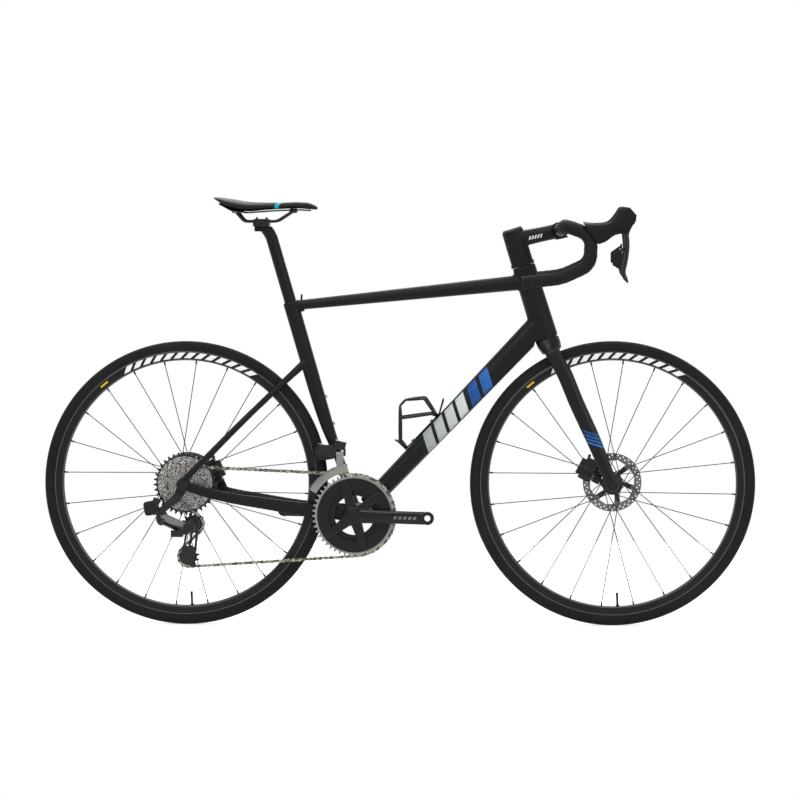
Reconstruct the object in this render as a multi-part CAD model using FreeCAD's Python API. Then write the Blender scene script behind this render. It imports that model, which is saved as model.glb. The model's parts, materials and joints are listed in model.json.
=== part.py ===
import FreeCAD, Part

import math
import os

# Road bicycle, drop bars, two by twelve gears, disc brakes. All sizes in millimetres.
# Frame: X forwards, Y to the rider's left (the drive side is -Y), Z up.
# Origin: on the ground, half-way between the wheel centres.

# ---------------------------------------------------------------- overall geometry
wheelbase = 1017.0
tyre_radius = 339.0
tyre_width = 28.0
bb_drop = 74.0
chainstay_length = 411.0
head_angle = 72.8
fork_rake = 47.0
head_tube_length = 181.0
crown_height = 684.0
seat_angle = 73.9
seat_axis_setback = 7.3
seat_tube_top_height = 772.0
saddle_clamp_height = 961.0
saddle_setback = 13.0

# ---------------------------------------------------------------- wheels
rim_outer_radius = 316.5
bead_seat_radius = 311.0
rim_inner_radius = 293.0
rim_width = 24.0
rim_wall = 1.6
tyre_wall = 2.4
spoke_count = 24
spoke_radius = 1.0
spoke_tangent_radius = 22.0
valve_length = 46.0
front_hub_width = 100.0
rear_hub_width = 142.0
axle_radius = 6.0
running_clearance = 0.05
rotor_radius = 70.0
rotor_thickness = 1.8
front_rotor_y = 38.0
rear_rotor_y = 55.7
dropout_thickness = 8.0

# ---------------------------------------------------------------- drive train
chain_pitch = 12.7
chain_line = 43.0
ring_gap = 6.6
outer_ring_teeth = 48
inner_ring_teeth = 35
pulley_teeth = 12
cog_teeth = [10, 11, 12, 13, 15, 17, 19, 21, 24, 28, 32, 36]
cog_spacing = 3.55
cog_thickness = 1.6
driven_cog = 7
crank_length = 175.0
crank_angle = -1.5
pedal_hole_radius = 7.14
bb_shell_radius = 27.0
bb_shell_width = 86.5
spindle_radius = 14.45
guide_offset = (20.5, -95.0)
cage_length = 78.5

# ---------------------------------------------------------------- cockpit and seat
steerer_radius = 14.3
spacer_stack = 33.0
headset_cover_height = 8.0
stem_clamp_height = 46.0
stem_reach = 103.0
stem_rise = 22.0
bar_clamp_radius = 15.9
bar_radius = 12.0
tape_thickness = 3.0
bar_half_width = 198.0
seatpost_radius = 14.3
seatpost_insertion = 150.0
seatpost_room_below = 60.0
saddle_length = 250.0
saddle_width = 145.0
rail_radius = 3.5
rail_spacing = 44.0

# ---------------------------------------------------------------- small shared sizes
bolt_radius = 2.5

# ---------------------------------------------------------------- derived places
V = FreeCAD.Vector
X_AXIS = V(1, 0, 0)
Y_AXIS = V(0, 1, 0)
Z_AXIS = V(0, 0, 1)
rear_axle = V(-wheelbase / 2, 0, tyre_radius)
front_axle = V(wheelbase / 2, 0, tyre_radius)
bb = V(rear_axle.x + math.sqrt(chainstay_length ** 2 - bb_drop ** 2), 0, tyre_radius - bb_drop)
head_rad = math.radians(head_angle)
steer_up = V(-math.cos(head_rad), 0, math.sin(head_rad))
steer_front = V(math.sin(head_rad), 0, math.cos(head_rad))
axle_on_steer = front_axle - steer_front * fork_rake
crown = axle_on_steer + steer_up * ((crown_height - axle_on_steer.z) / steer_up.z)
seat_rad = math.radians(seat_angle)
seat_up = V(-math.cos(seat_rad), 0, math.sin(seat_rad))
seat_front = V(math.sin(seat_rad), 0, math.cos(seat_rad))
seat_base = bb + V(-seat_axis_setback, 0, 0)
front_dropout_y = front_hub_width / 2
rear_dropout_y = rear_hub_width / 2
rotor_gap = 0.5


def on_steer(t, forward=0.0, y=0.0):
    """Point t above the crown along the steering axis, moved forwards and sideways."""
    return crown + steer_up * t + steer_front * forward + V(0, y, 0)


def on_seat(height, forward=0.0, y=0.0):
    """Point of the seat tube's axis at a height above the ground, moved forwards and sideways."""
    t = (height - seat_base.z) / seat_up.z
    return seat_base + seat_up * t + seat_front * forward + V(0, y, 0)


# ---------------------------------------------------------------- shape helpers
def save(name, shapes):
    """Write one node: a list of solids goes out as one compound."""
    solids = []
    for shape in shapes if isinstance(shapes, list) else [shapes]:
        solids += shape.Solids
    shape = solids[0] if len(solids) == 1 else Part.makeCompound(solids)
    shape.exportStep("parts/" + name + ".step")


def rod(start, end, radius):
    """Round bar between two points."""
    return Part.makeCylinder(radius, (end - start).Length, start, end - start)


def ring(centre, axis, outer, inner, length):
    """Tube of a given length, starting at centre and running along axis."""
    return Part.makeCylinder(outer, length, centre, axis).cut(Part.makeCylinder(inner, length, centre,
                                                                                axis))


def y_rod(centre, y_low, y_high, radius):
    """Round bar across the bicycle at the X and Z of centre."""
    return Part.makeCylinder(radius, y_high - y_low, V(centre.x, y_low, centre.z), Y_AXIS)


def y_ring(centre, y_low, y_high, outer, inner):
    """Round tube across the bicycle at the X and Z of centre."""
    return y_rod(centre, y_low, y_high, outer).cut(y_rod(centre, y_low, y_high, inner))


def box_at(centre, along, across, half_along, half_across, y_low, y_high):
    """Block in a tilted XZ direction between two Y planes."""
    corners = []
    for a, b in ((-1, -1), (1, -1), (1, 1), (-1, 1)):
        p = centre + along * (half_along * a) + across * (half_across * b)
        corners.append(V(p.x, y_low, p.z))
    return Part.Face(Part.makePolygon(corners + corners[:1])).extrude(V(0, y_high - y_low, 0))


def plate_xz(points, y_low, y_high):
    """Flat plate with a straight-sided XZ outline between two Y planes."""
    corners = [V(x, y_low, z) for x, z in points]
    return Part.Face(Part.makePolygon(corners + corners[:1])).extrude(V(0, y_high - y_low, 0))


def strap(start, end, start_radius, end_radius, y_low, y_high):
    """Flat link with round ends and straight tangent sides, in an XZ plane."""
    line = end - start
    line.y = 0
    length = line.Length
    line.normalize()
    side = V(-line.z, 0, line.x)
    tilt = (start_radius - end_radius) / length
    normal_out = side * math.sqrt(1 - tilt * tilt)
    up = normal_out + line * tilt
    down = line * tilt - normal_out
    corners = []
    for centre, radius, way in ((start, start_radius, up), (end, end_radius, up),
                                (end, end_radius, down), (start, start_radius, down)):
        p = centre + way * radius
        corners.append(V(p.x, y_low, p.z))
    body = Part.Face(Part.makePolygon(corners + corners[:1])).extrude(V(0, y_high - y_low, 0))
    body = body.fuse(y_rod(start, y_low, y_high, start_radius))
    return body.fuse(y_rod(end, y_low, y_high, end_radius)).removeSplitter()


def outline(centre, u, v, half_u, half_v, power, count):
    """Points of a superellipse about a centre, spanned by the unit directions u and v."""
    points = []
    for k in range(count):
        angle = 2 * math.pi * k / count
        c = math.cos(angle)
        s = math.sin(angle)
        pu = math.copysign(abs(c) ** (2 / power), c) * half_u
        pv = math.copysign(abs(s) ** (2 / power), s) * half_v
        points.append(centre + u * pu + v * pv)
    return points


def flat_section(centre, u, v, half_u, half_v, power):
    """Superellipse wire of straight edges, for very flat outlines."""
    points = outline(centre, u, v, half_u, half_v, power, 28)
    return Part.makePolygon(points + points[:1])


def section(centre, u, v, half_u, half_v, power=2.3):
    """Closed smooth superellipse wire."""
    points = outline(centre, u, v, half_u, half_v, power, 12)
    curve = Part.BSplineCurve()
    curve.interpolate(Points=points, PeriodicFlag=True)
    return Part.Wire(curve.toShape())


def loft(wires):
    """Smooth solid through closed wires."""
    return Part.makeLoft(wires, True, False)


def ruled_loft(wires):
    """Solid through closed wires with straight lines from each to the next."""
    solid = Part.makeLoft(wires, True, True)
    if solid.Volume < 0:
        solid = Part.makeLoft(wires[::-1], True, True)
    return solid


def joined(shapes):
    """One solid from overlapping shapes, joined one after another."""
    body = shapes[0]
    for shape in shapes[1:]:
        body = body.fuse(shape)
    return body


def revolved(profile, centre):
    """Solid of revolution about the Y axis through centre; profile is a list of (radius, y)."""
    points = [V(centre.x + r, y, centre.z) for r, y in profile]
    face = Part.Face(Part.makePolygon(points + points[:1]))
    return face.revolve(V(centre.x, 0, centre.z), Y_AXIS, 360)


def filleted_path(points, radii):
    """Wire of straight runs joined by tangent arcs; one radius for each inner point."""
    edges = []
    last = points[0]
    for before, corner, after, radius in zip(points, points[1:], points[2:], radii):
        into = (corner - before).normalize()
        out = (after - corner).normalize()
        turn = into.getAngle(out)
        setback = radius * math.tan(turn / 2)
        arc_start = corner - into * setback
        arc_end = corner + out * setback
        bisector = (out - into).normalize()
        middle = corner + bisector * (radius / math.cos(turn / 2) - radius)
        edges.append(Part.LineSegment(last, arc_start).toShape())
        edges.append(Part.Arc(arc_start, middle, arc_end).toShape())
        last = arc_end
    edges.append(Part.LineSegment(last, points[-1]).toShape())
    return Part.Wire(edges)


def pipe(path, radius):
    """Round bar that follows a wire."""
    start = path.Edges[0].valueAt(path.Edges[0].FirstParameter)
    tangent = path.Edges[0].tangentAt(path.Edges[0].FirstParameter)
    circle = Part.Wire(Part.makeCircle(radius, start, tangent))
    solid = path.makePipeShell([circle], True, False)
    if solid.Volume < 0:
        solid.reverse()
    return solid


def mirrored(shape):
    """The same shape on the other side of the bicycle's middle plane."""
    return shape.mirror(V(0, 0, 0), Y_AXIS)


def pitch_radius(teeth):
    """Radius of the circle on which the chain's pins lie."""
    return chain_pitch / 2 / math.sin(math.pi / teeth)


roller_radius = 3.75
tooth_height = 3.4
root_depth = 4.0


def toothed_disc(centre, teeth, phase, y_low, y_high):
    """Sprocket disc; phase is the angle in degrees of one roller seat."""
    r = pitch_radius(teeth)
    corners = []
    for k in range(teeth):
        seat = math.radians(phase + 360.0 * k / teeth)
        radial = V(math.cos(seat), 0, math.sin(seat))
        side = V(-math.sin(seat), 0, math.cos(seat))
        half_step = math.pi / teeth
        tip_side = (r + tooth_height) * math.sin(half_step) - 0.9
        tip_up = (r + tooth_height) * math.cos(half_step) - r
        for across, out in ((-tip_side, tip_up), (-4.2, 0.0), (-2.4, -root_depth),
                            (2.4, -root_depth), (4.2, 0.0), (tip_side, tip_up)):
            p = centre + radial * (r + out) + side * across
            corners.append(V(p.x, y_low, p.z))
    return Part.Face(Part.makePolygon(corners + corners[:1])).extrude(V(0, y_high - y_low, 0))


# ---------------------------------------------------------------- frame
wall = 3.0
head_half_depth = 28.5
head_half_width = 25.0
bearing_radius = 21.0
bearing_height = 8.0
crown_room_radius = 35.0


def head_tube():
    """Outer shape of the head tube, a little deeper at the crown."""
    wires = []
    for t, half_u, half_v in ((1.0, head_half_depth + 1, head_half_width + 1),
                              (head_tube_length / 2, head_half_depth, head_half_width),
                              (head_tube_length, head_half_depth - 1, head_half_width)):
        wires.append(section(on_steer(t, -1.5), steer_front, Y_AXIS, half_u, half_v))
    return loft(wires)


def beam(start, end, start_size, end_size, power=2.6):
    """Straight tapered tube in the middle plane; sizes are half depth and half width."""
    line = (end - start).normalize()
    up = V(-line.z, 0, line.x)
    return ruled_loft([section(start, up, Y_AXIS, start_size[0], start_size[1], power),
                       section(end, up, Y_AXIS, end_size[0], end_size[1], power)])


top_tube_head = on_steer(143.0, -6.0)
top_tube_seat = on_seat(762.0)
down_tube_head = on_steer(38.0, -6.0)
down_tube_foot = bb + V(28.0, 0, 22.0)


def shortened(start, end, start_size, end_size, inset_start, inset_end, shrink):
    """Sizes and ends of a beam cut short at both ends and made thinner all round."""
    line = (end - start).normalize()
    length = (end - start).Length
    slope = [(b - a) / length for a, b in zip(start_size, end_size)]
    low = [a + k * inset_start - shrink for a, k in zip(start_size, slope)]
    high = [b - k * inset_end - shrink for b, k in zip(end_size, slope)]
    return start + line * inset_start, end - line * inset_end, low, high


top_tube_run = (top_tube_head, top_tube_seat, (18.5, 21.0), (11.5, 16.0))
down_tube_run = (down_tube_head, down_tube_foot, (28.0, 25.0), (21.0, 31.0))


def top_tube():
    """Slim top tube, deepest at the head."""
    return beam(*top_tube_run)


def down_tube(grow=0.0):
    """Deep down tube from the head to the bottom bracket."""
    start, end, start_size, end_size = down_tube_run
    return beam(start, end, [size + grow for size in start_size], [size + grow for size in end_size])


def seat_tube():
    """Seat tube, cut away at the back where the rear tyre passes."""
    wires = []
    for height, forward, half_u, half_v in ((seat_tube_top_height, 0.0, seatpost_radius + 4.0, 18.5),
                                            (650.0, 0.0, seatpost_radius + 3.6, 18.5),
                                            (545.0, 0.0, seatpost_radius + 3.0, 18.5),
                                            (470.0, 2.0, 15.0, 19.0),
                                            (415.0, 6.0, 11.5, 21.0),
                                            (340.0, 9.0, 12.0, 27.0),
                                            (bb.z + 8, 7.0, 16.0, 34.0)):
        wires.append(section(on_seat(height, forward), seat_front, Y_AXIS, half_u, half_v))
    return loft(wires)


def chainstay(grow=0.0):
    """Drive-side chainstay, from the bottom bracket round the tyre to the axle."""
    y_end = rear_dropout_y + dropout_thickness / 2
    stations = ((bb.x - 12, bb.z + 3, 26.5, 20.0, 6.0), (bb.x - 60, bb.z + 8, 27.0, 18.0, 5.4),
                (bb.x - 122, bb.z + 14, 32.0, 16.5, 7.0), (bb.x - 215, bb.z + 29, 49.0, 14.5, 8.0),
                (bb.x - 300, bb.z + 44, rear_dropout_y - 6, 13.0, 6.5), (bb.x - 352, bb.z + 57,
                                                                         rear_dropout_y + 2, 13.0, 5.0),
                (rear_axle.x + 2, rear_axle.z - 1, y_end, 12.0, dropout_thickness / 2 - 0.3))
    wires = [section(V(x, -y, z), Z_AXIS, Y_AXIS, half_z + grow, half_y + grow)
             for x, z, y, half_z, half_y in stations]
    return ruled_loft(wires)


def seatstay(grow=0.0):
    """Drive-side seatstay, from low on the seat tube to the axle."""
    y_end = rear_dropout_y + dropout_thickness / 2
    foot = rear_axle
    head = on_seat(632.0)
    along = (head - foot).normalize()
    up = V(-along.z, 0, along.x)
    stations = ((0.0, y_end, 9.0, dropout_thickness / 2 - 0.3), (0.12, y_end - 0.4, 7.5, 4.0),
                (0.24, y_end - 7.0, 7.0, 4.5), (0.42, 52.0, 7.0, 5.0), (0.6, 37.0, 7.0, 5.5),
                (0.76, 27.5, 7.5, 6.0), (0.88, 20.5, 8.5, 6.5), (1.0, 12.0, 10.0, 7.0))
    wires = []
    for share, y, half_u, half_v in stations:
        lift = 4.0 * math.sin(math.pi * share)
        p = foot + (head - foot) * share + up * (lift + 6.0 * (1 - share))
        wires.append(section(V(p.x, -y, p.z), up, Y_AXIS, half_u + grow, half_v + grow))
    return ruled_loft(wires)


hanger_bolt = rear_axle + V(-12.0, 0, -27.0)
caliper_reach = 64.5
front_caliper_angle = math.radians(152.0)
rear_caliper_angle = math.radians(22.0)
front_caliper_out = V(math.cos(front_caliper_angle), 0, math.sin(front_caliper_angle))
front_caliper_line = V(front_caliper_out.z, 0, -front_caliper_out.x)
front_caliper_centre = front_axle + front_caliper_out * caliper_reach + V(0, front_rotor_y, 0)
rear_caliper_out = V(math.cos(rear_caliper_angle), 0, math.sin(rear_caliper_angle))
rear_caliper_line = V(-rear_caliper_out.z, 0, rear_caliper_out.x)
rear_caliper_centre = rear_axle + rear_caliper_out * caliper_reach + V(0, rear_rotor_y, 0)
caliper_half_length = 27.0
caliper_foot_height = 6.0


def down_tube_top(share):
    """Point on the down tube's upper face, from the bottom bracket (0) to the head (1)."""
    line = (down_tube_head - down_tube_foot).normalize()
    p = down_tube_foot + (down_tube_head - down_tube_foot) * share
    half = 21.0 + 7.0 * share
    return p + V(-line.z, 0, line.x) * half, line, V(-line.z, 0, line.x)


cage_bolt_shares = (0.315, 0.4224)
seating_gap = 0.15


def frame():
    """The one-piece frame with its bores for bearings, seatpost, axle and bolts."""
    shell = y_rod(bb, -bb_shell_width / 2, bb_shell_width / 2, bb_shell_radius)
    dropout = y_rod(rear_axle, -rear_dropout_y - dropout_thickness, -rear_dropout_y, 17.0)
    side = joined([chainstay(), seatstay(), dropout])
    body = joined([head_tube(), top_tube(), down_tube(), seat_tube(), shell, side, mirrored(side),
                   caliper_seat()])
    inner_down = beam(*shortened(*down_tube_run, 48.0, 40.0, wall))
    inner_top = beam(*shortened(*top_tube_run, 36.0, 42.0, wall))
    seat_bore = rod(on_seat(seat_tube_top_height + 20), on_seat(seatpost_foot_height - seatpost_room_below),
                    seatpost_radius + running_clearance)
    steer_bore = rod(on_steer(-5), on_steer(head_tube_length + 5), bearing_radius - 2.0)
    cuts = [inner_down, inner_top, seat_bore, steer_bore,
            rod(on_steer(-2), on_steer(bearing_height), bearing_radius),
            rod(on_steer(head_tube_length - bearing_height), on_steer(head_tube_length + 3),
                bearing_radius),
            y_rod(bb, -60, 60, 20.5), y_rod(rear_axle, -rear_dropout_y - 19, rear_dropout_y + 19,
                                            axle_radius),
            rod(on_steer(-24), on_steer(0.8), crown_room_radius)]
    for share in cage_bolt_shares:
        p, _, normal = down_tube_top(share)
        cuts.append(rod(p - normal * 14, p + normal * 4, bolt_radius))
    for height in boss_heights:
        p = on_seat(height, boss_forward)
        cuts.append(rod(p - seat_front * 10, p + seat_front * 8, bolt_radius))
    lower = wedge_centre() - seat_front * 2
    cuts.append(rod(lower + seat_front * 2, lower + seat_front * 2 + V(3.0, 0, 36.0), 3.4))
    cuts.append(wedge_pocket())
    for tool in cuts:
        body = body.cut(tool)
    return body


boss_heights = (477.0, 541.0)
boss_forward = seatpost_radius + 2.7
seatpost_foot_height = seat_tube_top_height - seatpost_insertion


def wedge_centre():
    """Middle of the seatpost's clamping wedge, inside the top tube."""
    return on_seat(754.0, seatpost_radius + 6.0)


def wedge_pocket(shrink=0.0):
    """Pocket in front of the seatpost that holds the wedge."""
    c = wedge_centre()
    return box_at(c, seat_up, seat_front, 12 - shrink, 6.5 - shrink, -8 + shrink, 8 - shrink)


def seatpost_wedge():
    """Clamping wedge, hollow-faced against the seatpost, with its bolt."""
    post = rod(on_seat(700), on_seat(800), seatpost_radius + running_clearance)
    body = wedge_pocket(0.1).cut(post)
    c = wedge_centre()
    bolt = rod(c + V(0.5, 0, 5.0), c + V(2.6, 0, 30.0), 2.4)
    return [body.cut(bolt), bolt]


def caliper_seat():
    """Raised pad on the left chainstay for the rear brake caliper."""
    height = 18.0
    c = rear_caliper_centre - rear_caliper_line * (caliper_half_length + caliper_foot_height + height / 2)
    return box_at(c, rear_caliper_line, rear_caliper_out, height / 2, 15, rear_rotor_y + 8,
                  rear_rotor_y + 20)


def bottom_bracket_cups():
    """Two pressed cups with flanges; the spindle turns in them."""
    half = bb_shell_width / 2
    cup = y_ring(bb, -half, -half + 14, 20.5, spindle_radius + running_clearance)
    flange = y_ring(bb, -half - 1.2, -half, 22.5, spindle_radius + running_clearance)
    right = cup.fuse(flange).removeSplitter()
    return [right, mirrored(right)]


def headset_bearings():
    """Lower and upper cartridge bearings round the steerer."""
    lower = ring(on_steer(0.6), steer_up, bearing_radius, 17.0, bearing_height - 0.6)
    upper = ring(on_steer(head_tube_length - bearing_height), steer_up, bearing_radius,
                 steerer_radius + running_clearance, bearing_height - 0.6)
    return [lower, upper]


def rear_thru_axle():
    """Thru axle with its flanged head on the left."""
    outer = rear_dropout_y + dropout_thickness
    body = y_rod(rear_axle, -outer - 6.0, outer, axle_radius)
    head = y_rod(rear_axle, outer, outer + 2.5, 9.0).cut(y_rod(rear_axle, outer - 4, outer + 3, 3.0))
    return body.cut(y_rod(rear_axle, outer - 4, outer + 3, 3.0)).fuse(head)


def derailleur_hanger():
    """Hanger plate outside the right dropout, with the axle's thread and the derailleur's hole."""
    outer = rear_dropout_y + dropout_thickness
    plate = strap(rear_axle, hanger_bolt, 13.0, 9.5, -outer - 6.0, -outer)
    return plate.cut([y_rod(rear_axle, -100, 0, axle_radius), y_rod(hanger_bolt, -100, 0, 5.0)])


def frame_bolts():
    """Cage bolts and the spare boss bolts on the seat tube, with round heads."""
    bolts = []
    for share in cage_bolt_shares:
        p, _, normal = down_tube_top(share)
        shank = rod(p - normal * 12, p + normal * 3.0, bolt_radius)
        bolts.append(shank.fuse(rod(p + normal * 3.0, p + normal * 6.0, 4.2)))
    for height in boss_heights:
        p = on_seat(height, boss_forward)
        shank = rod(p - seat_front * 8, p + seat_front * 1.4, bolt_radius)
        bolts.append(shank.fuse(rod(p + seat_front * 1.4, p + seat_front * 4.0, 4.2)))
    return bolts


bottle_radius = 37.0
cage_strand_radius = 2.8
cage_bend = 14.0


cage_radius = bottle_radius + cage_strand_radius
cage_lower_strand = ((-22.0, 42.0), (-6.0, 82.0), (18.0, 116.0), (40.0, 148.0), (49.0, 180.0))
cage_upper_strand = ((49.0, 180.0), (70.0, 146.0), (92.0, 112.0), (90.0, 78.0), (82.0, 42.0))


def bottle_cage():
    """Open cage: a rail on the down tube, a foot, a tongue, and strands that wrap the bottle."""
    low, line, normal = down_tube_top(cage_bolt_shares[0])
    high, _, _ = down_tube_top(cage_bolt_shares[1])
    across = line.cross(normal)
    axis = low + normal * (cage_radius + cage_strand_radius)

    def on_bottle(along, turn, side):
        """Point of a strand: place along the bottle and turn round it from the rail."""
        a = math.radians(turn)
        return axis + line * along - normal * (cage_radius * math.cos(a)) + across * (side * cage_radius
                                                                                      * math.sin(a))

    def plate(outline, half_width):
        """Flat bar from an outline of places along the rail and heights above the tube."""
        corners = [low + line * along + normal * up - across * half_width for along, up in outline]
        face = Part.Face(Part.makePolygon(corners + corners[:1]))
        return face.extrude(across * (2 * half_width))

    rail = plate([(-28, 0), (90, 0), (90, 3.4), (-28, 3.4)], 11.0)
    foot = plate([(-28, 0), (-24, 0), (-24, 30), (-27, 36), (-30, 36), (-28, 28)], 13.0)
    tongue = plate([(84, 0), (90, 0), (121, 16), (124, 22), (120, 21), (88, 3.4), (84, 3.4)], 8.0)
    shapes = [rail, foot, tongue]
    for strand in (cage_lower_strand, cage_upper_strand):
        for side in (-1, 1):
            points = [on_bottle(along, turn, side) for along, turn in strand]
            inner = points[0] if strand is cage_lower_strand else points[-1]
            root = low + line * (inner - low).dot(line) + normal * 1.7 + across * (side * 8.0)
            points = [root] + points if strand is cage_lower_strand else points + [root]
            shapes.append(pipe(filleted_path(points, [cage_bend] * (len(points) - 2)), cage_strand_radius))
    shapes.append(Part.makeSphere(cage_strand_radius * 1.25, on_bottle(49.0, 180.0, 1)))
    holes = [down_tube(seating_gap)]
    for p in (low, high):
        holes.append(rod(p - normal * 4, p + normal * 3.0, bolt_radius + 0.1))
        holes.append(rod(p + normal * 3.0, p + normal * 12.0, 4.6))
    return joined(shapes).cut(holes)


caliper_half_y = 15.0


def caliper(centre, along, across, foot):
    """Brake caliper body that straddles the rotor, with two opposed piston bores, a hose port and a foot."""
    y = centre.y
    body = box_at(centre, along, across, caliper_half_length, 15.0, y - caliper_half_y, y + caliper_half_y)
    flange = box_at(centre + across * 19, along, across, 20.0, 6.0, y - 10.0, y + 10.0)
    port = rod(centre + along * 24 + across * 11, centre + along * 34 + across * 14, 3.6)
    body = joined([body, flange, port, foot])
    slot = box_at(centre - across * 4, along, across, 30.0, 13.0, y - 2.6, y + 2.6)
    pocket = box_at(centre - across * 2, along, across, 14.2, 13.2, y - 6.9, y + 6.9)
    bores = y_rod(centre, y - 12.0, y + 12.0, 9.0 + running_clearance)
    pin_seat = centre + across * 8.0
    return body.cut([slot, pocket, bores, y_rod(pin_seat, y - 30, y + 30, 1.6)])


def brake_pad(centre, along, across, side):
    """Pad plate with its lining and the piston behind it; side is +1 or -1."""
    y = centre.y
    near = rotor_thickness / 2 + rotor_gap
    y_low, y_high = sorted((y + side * near, y + side * (near + 4.8)))
    pad = box_at(centre - across * 2, along, across, 13.8, 12.2, y_low, y_high)
    p_low, p_high = sorted((y + side * (near + 4.8), y + side * (near + 10.0)))
    piston = y_rod(centre, p_low, p_high, 9.0)
    hole = y_rod(centre + across * 8.0, y - 30, y + 30, 1.8)
    return pad.fuse(piston).cut(hole)


def pad_pin(centre, across):
    """Pin that keeps the pads in a caliper."""
    y = centre.y
    return y_rod(centre + across * 8.0, y - caliper_half_y - 1.5, y + caliper_half_y, 1.5)


def rear_caliper():
    """Rear caliper on the left chainstay."""
    c = rear_caliper_centre
    middle = c - rear_caliper_line * (caliper_half_length + caliper_foot_height / 2 - 1)
    foot = box_at(middle, rear_caliper_line, rear_caliper_out, caliper_foot_height / 2 + 1, 15,
                  rear_rotor_y + 8, rear_rotor_y + 20)
    body = caliper(c, rear_caliper_line, rear_caliper_out, foot)
    for stay in (chainstay(seating_gap), seatstay(seating_gap)):
        body = body.cut(mirrored(stay))
    return [body, pad_pin(c, rear_caliper_out)]


def front_caliper_foot(depth, half_depth, half_length):
    """Block beside the rotor, between the front caliper and the fork blade."""
    return box_at(front_caliper_centre - front_caliper_out * depth, front_caliper_line, front_caliper_out,
                  half_length, half_depth, front_rotor_y + 7, front_rotor_y + 17)


def front_caliper():
    """Front caliper behind the left fork blade."""
    c = front_caliper_centre
    body = caliper(c, front_caliper_line, front_caliper_out, front_caliper_foot(15.0, 3.0, 22.0))
    return [body.cut(mirrored(fork_blade())), pad_pin(c, front_caliper_out)]


# ---------------------------------------------------------------- fork and steering
fork_stations = ((0.0, 0.0, 31.0, 17.5, 7.5), (0.14, 10.0, 36.0, 17.8, 8.0), (0.4, 3.5, 40.5, 17.5, 8.5),
                 (0.7, 3.0, 48.5, 16.5, 7.5), (0.9, 1.0, 54.0, 14.5, 5.0), (1.0, 0.0, 54.5, 13.0, 4.5))


def fork_blade():
    """Drive-side fork blade from the crown to the dropout."""
    top = on_steer(-30.0, 2.0)
    foot = front_axle + V(-2.0, 0, 2.0)
    along = (foot - top).normalize()
    forward = V(-along.z, 0, along.x)
    wires = []
    for share, bow, y, half_u, half_v in fork_stations:
        p = top + (foot - top) * share + forward * bow
        wires.append(section(V(p.x, -y, p.z), forward, Y_AXIS, half_u, half_v))
    return ruled_loft(wires)


def fork():
    """Carbon fork: steerer, crown and two blades in one piece."""
    top = head_tube_length + headset_cover_height + spacer_stack + stem_clamp_height - 3
    steerer = rod(on_steer(-20), on_steer(top), steerer_radius)
    taper = Part.makeCone(16.9, steerer_radius, 40, on_steer(8), steer_up)
    race = rod(on_steer(-20), on_steer(8), 16.9)
    crown_wires = [section(on_steer(0.4, 0.0), steer_front, Y_AXIS, 28.5, 25.5),
                   section(on_steer(-16, 1.0), steer_front, Y_AXIS, 28.0, 31.0),
                   section(on_steer(-34, 3.0), steer_front, Y_AXIS, 24.0, 38.5)]
    crown_block = loft(crown_wires)
    tyre_room = y_rod(front_axle, -22.0, 22.0, tyre_radius + 7.0)
    dropout = y_rod(front_axle, -front_dropout_y - 8.5, -front_dropout_y, 15.0)
    blade = fork_blade().fuse(dropout)
    foot = front_caliper_foot(28.0, 10.0, 22.0)
    body = joined([crown_block, blade, mirrored(blade), race, taper, steerer, foot])
    hollow = rod(on_steer(-60), on_steer(top + 5), steerer_radius - 2.6)
    hub_room = y_rod(front_axle, -front_dropout_y, front_dropout_y, 30.0)
    outer = front_dropout_y + 8.5
    head_room = y_rod(front_axle, outer, outer + 10, 9.5)
    return body.cut([tyre_room, hollow, hub_room, head_room, y_rod(front_axle, -90, 90, axle_radius)])


def front_thru_axle():
    """Front thru axle with its flanged head on the left."""
    outer = front_dropout_y + 8.5
    body = y_rod(front_axle, -outer, outer, axle_radius)
    head = y_rod(front_axle, outer, outer + 2.5, 9.0)
    return body.fuse(head).cut(y_rod(front_axle, outer - 4, outer + 3, 3.0))


cover_base = head_tube_length + 0.6
stem_base = cover_base + headset_cover_height + spacer_stack
spacer_back = -2.5


def headset_spacers():
    """Cover and stack of oval spacers round the steerer, with room for the hoses."""
    pieces = []
    t = cover_base
    sizes = [(headset_cover_height, 28.5, 24.0)] + [(spacer_stack / 3, 26.5, 21.0)] * 3
    for height, half_u, half_v in sizes:
        wire_low = section(on_steer(t, spacer_back), steer_front, Y_AXIS, half_u, half_v, 2.0)
        wire_high = section(on_steer(t + height, spacer_back), steer_front, Y_AXIS, half_u - 0.3,
                            half_v - 0.3, 2.0)
        solid = loft([wire_low, wire_high])
        pieces.append(solid.cut(rod(on_steer(t - 1), on_steer(t + height + 1), steerer_radius)))
        t += height
    return pieces


stem_middle = stem_base + stem_clamp_height / 2
bar_centre = on_steer(stem_middle) + V(stem_reach, 0, stem_rise)
stem_line = (bar_centre - on_steer(stem_middle)).normalize()
stem_up = V(-stem_line.z, 0, stem_line.x)


def stem_outer():
    """Stem body: an oval collar on the steerer and a tapering arm to the bar."""
    low = section(on_steer(stem_base, spacer_back), steer_front, Y_AXIS, 26.5, 21.0, 2.2)
    high = section(on_steer(stem_base + stem_clamp_height, spacer_back), steer_front, Y_AXIS, 25.5, 20.0,
                   2.2)
    collar = loft([low, high])
    arm_start = on_steer(stem_middle)
    arm = loft([section(arm_start, stem_up, Y_AXIS, 21.0, 18.5, 2.8),
                section(arm_start + stem_line * 50, stem_up, Y_AXIS, 18.0, 18.0, 2.8),
                section(bar_centre + stem_line * 4, stem_up, Y_AXIS, 18.5, 21.0, 2.8)])
    nose = y_rod(bar_centre, -22.0, 22.0, bar_clamp_radius + 4.6)
    return collar.fuse([arm, nose])


def stem_split():
    """Thin slab that parts the faceplate from the stem, through the bar's centre."""
    return box_at(bar_centre + stem_line * 1.5, stem_up, stem_line, 40, 0.5, -40, 40)


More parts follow.
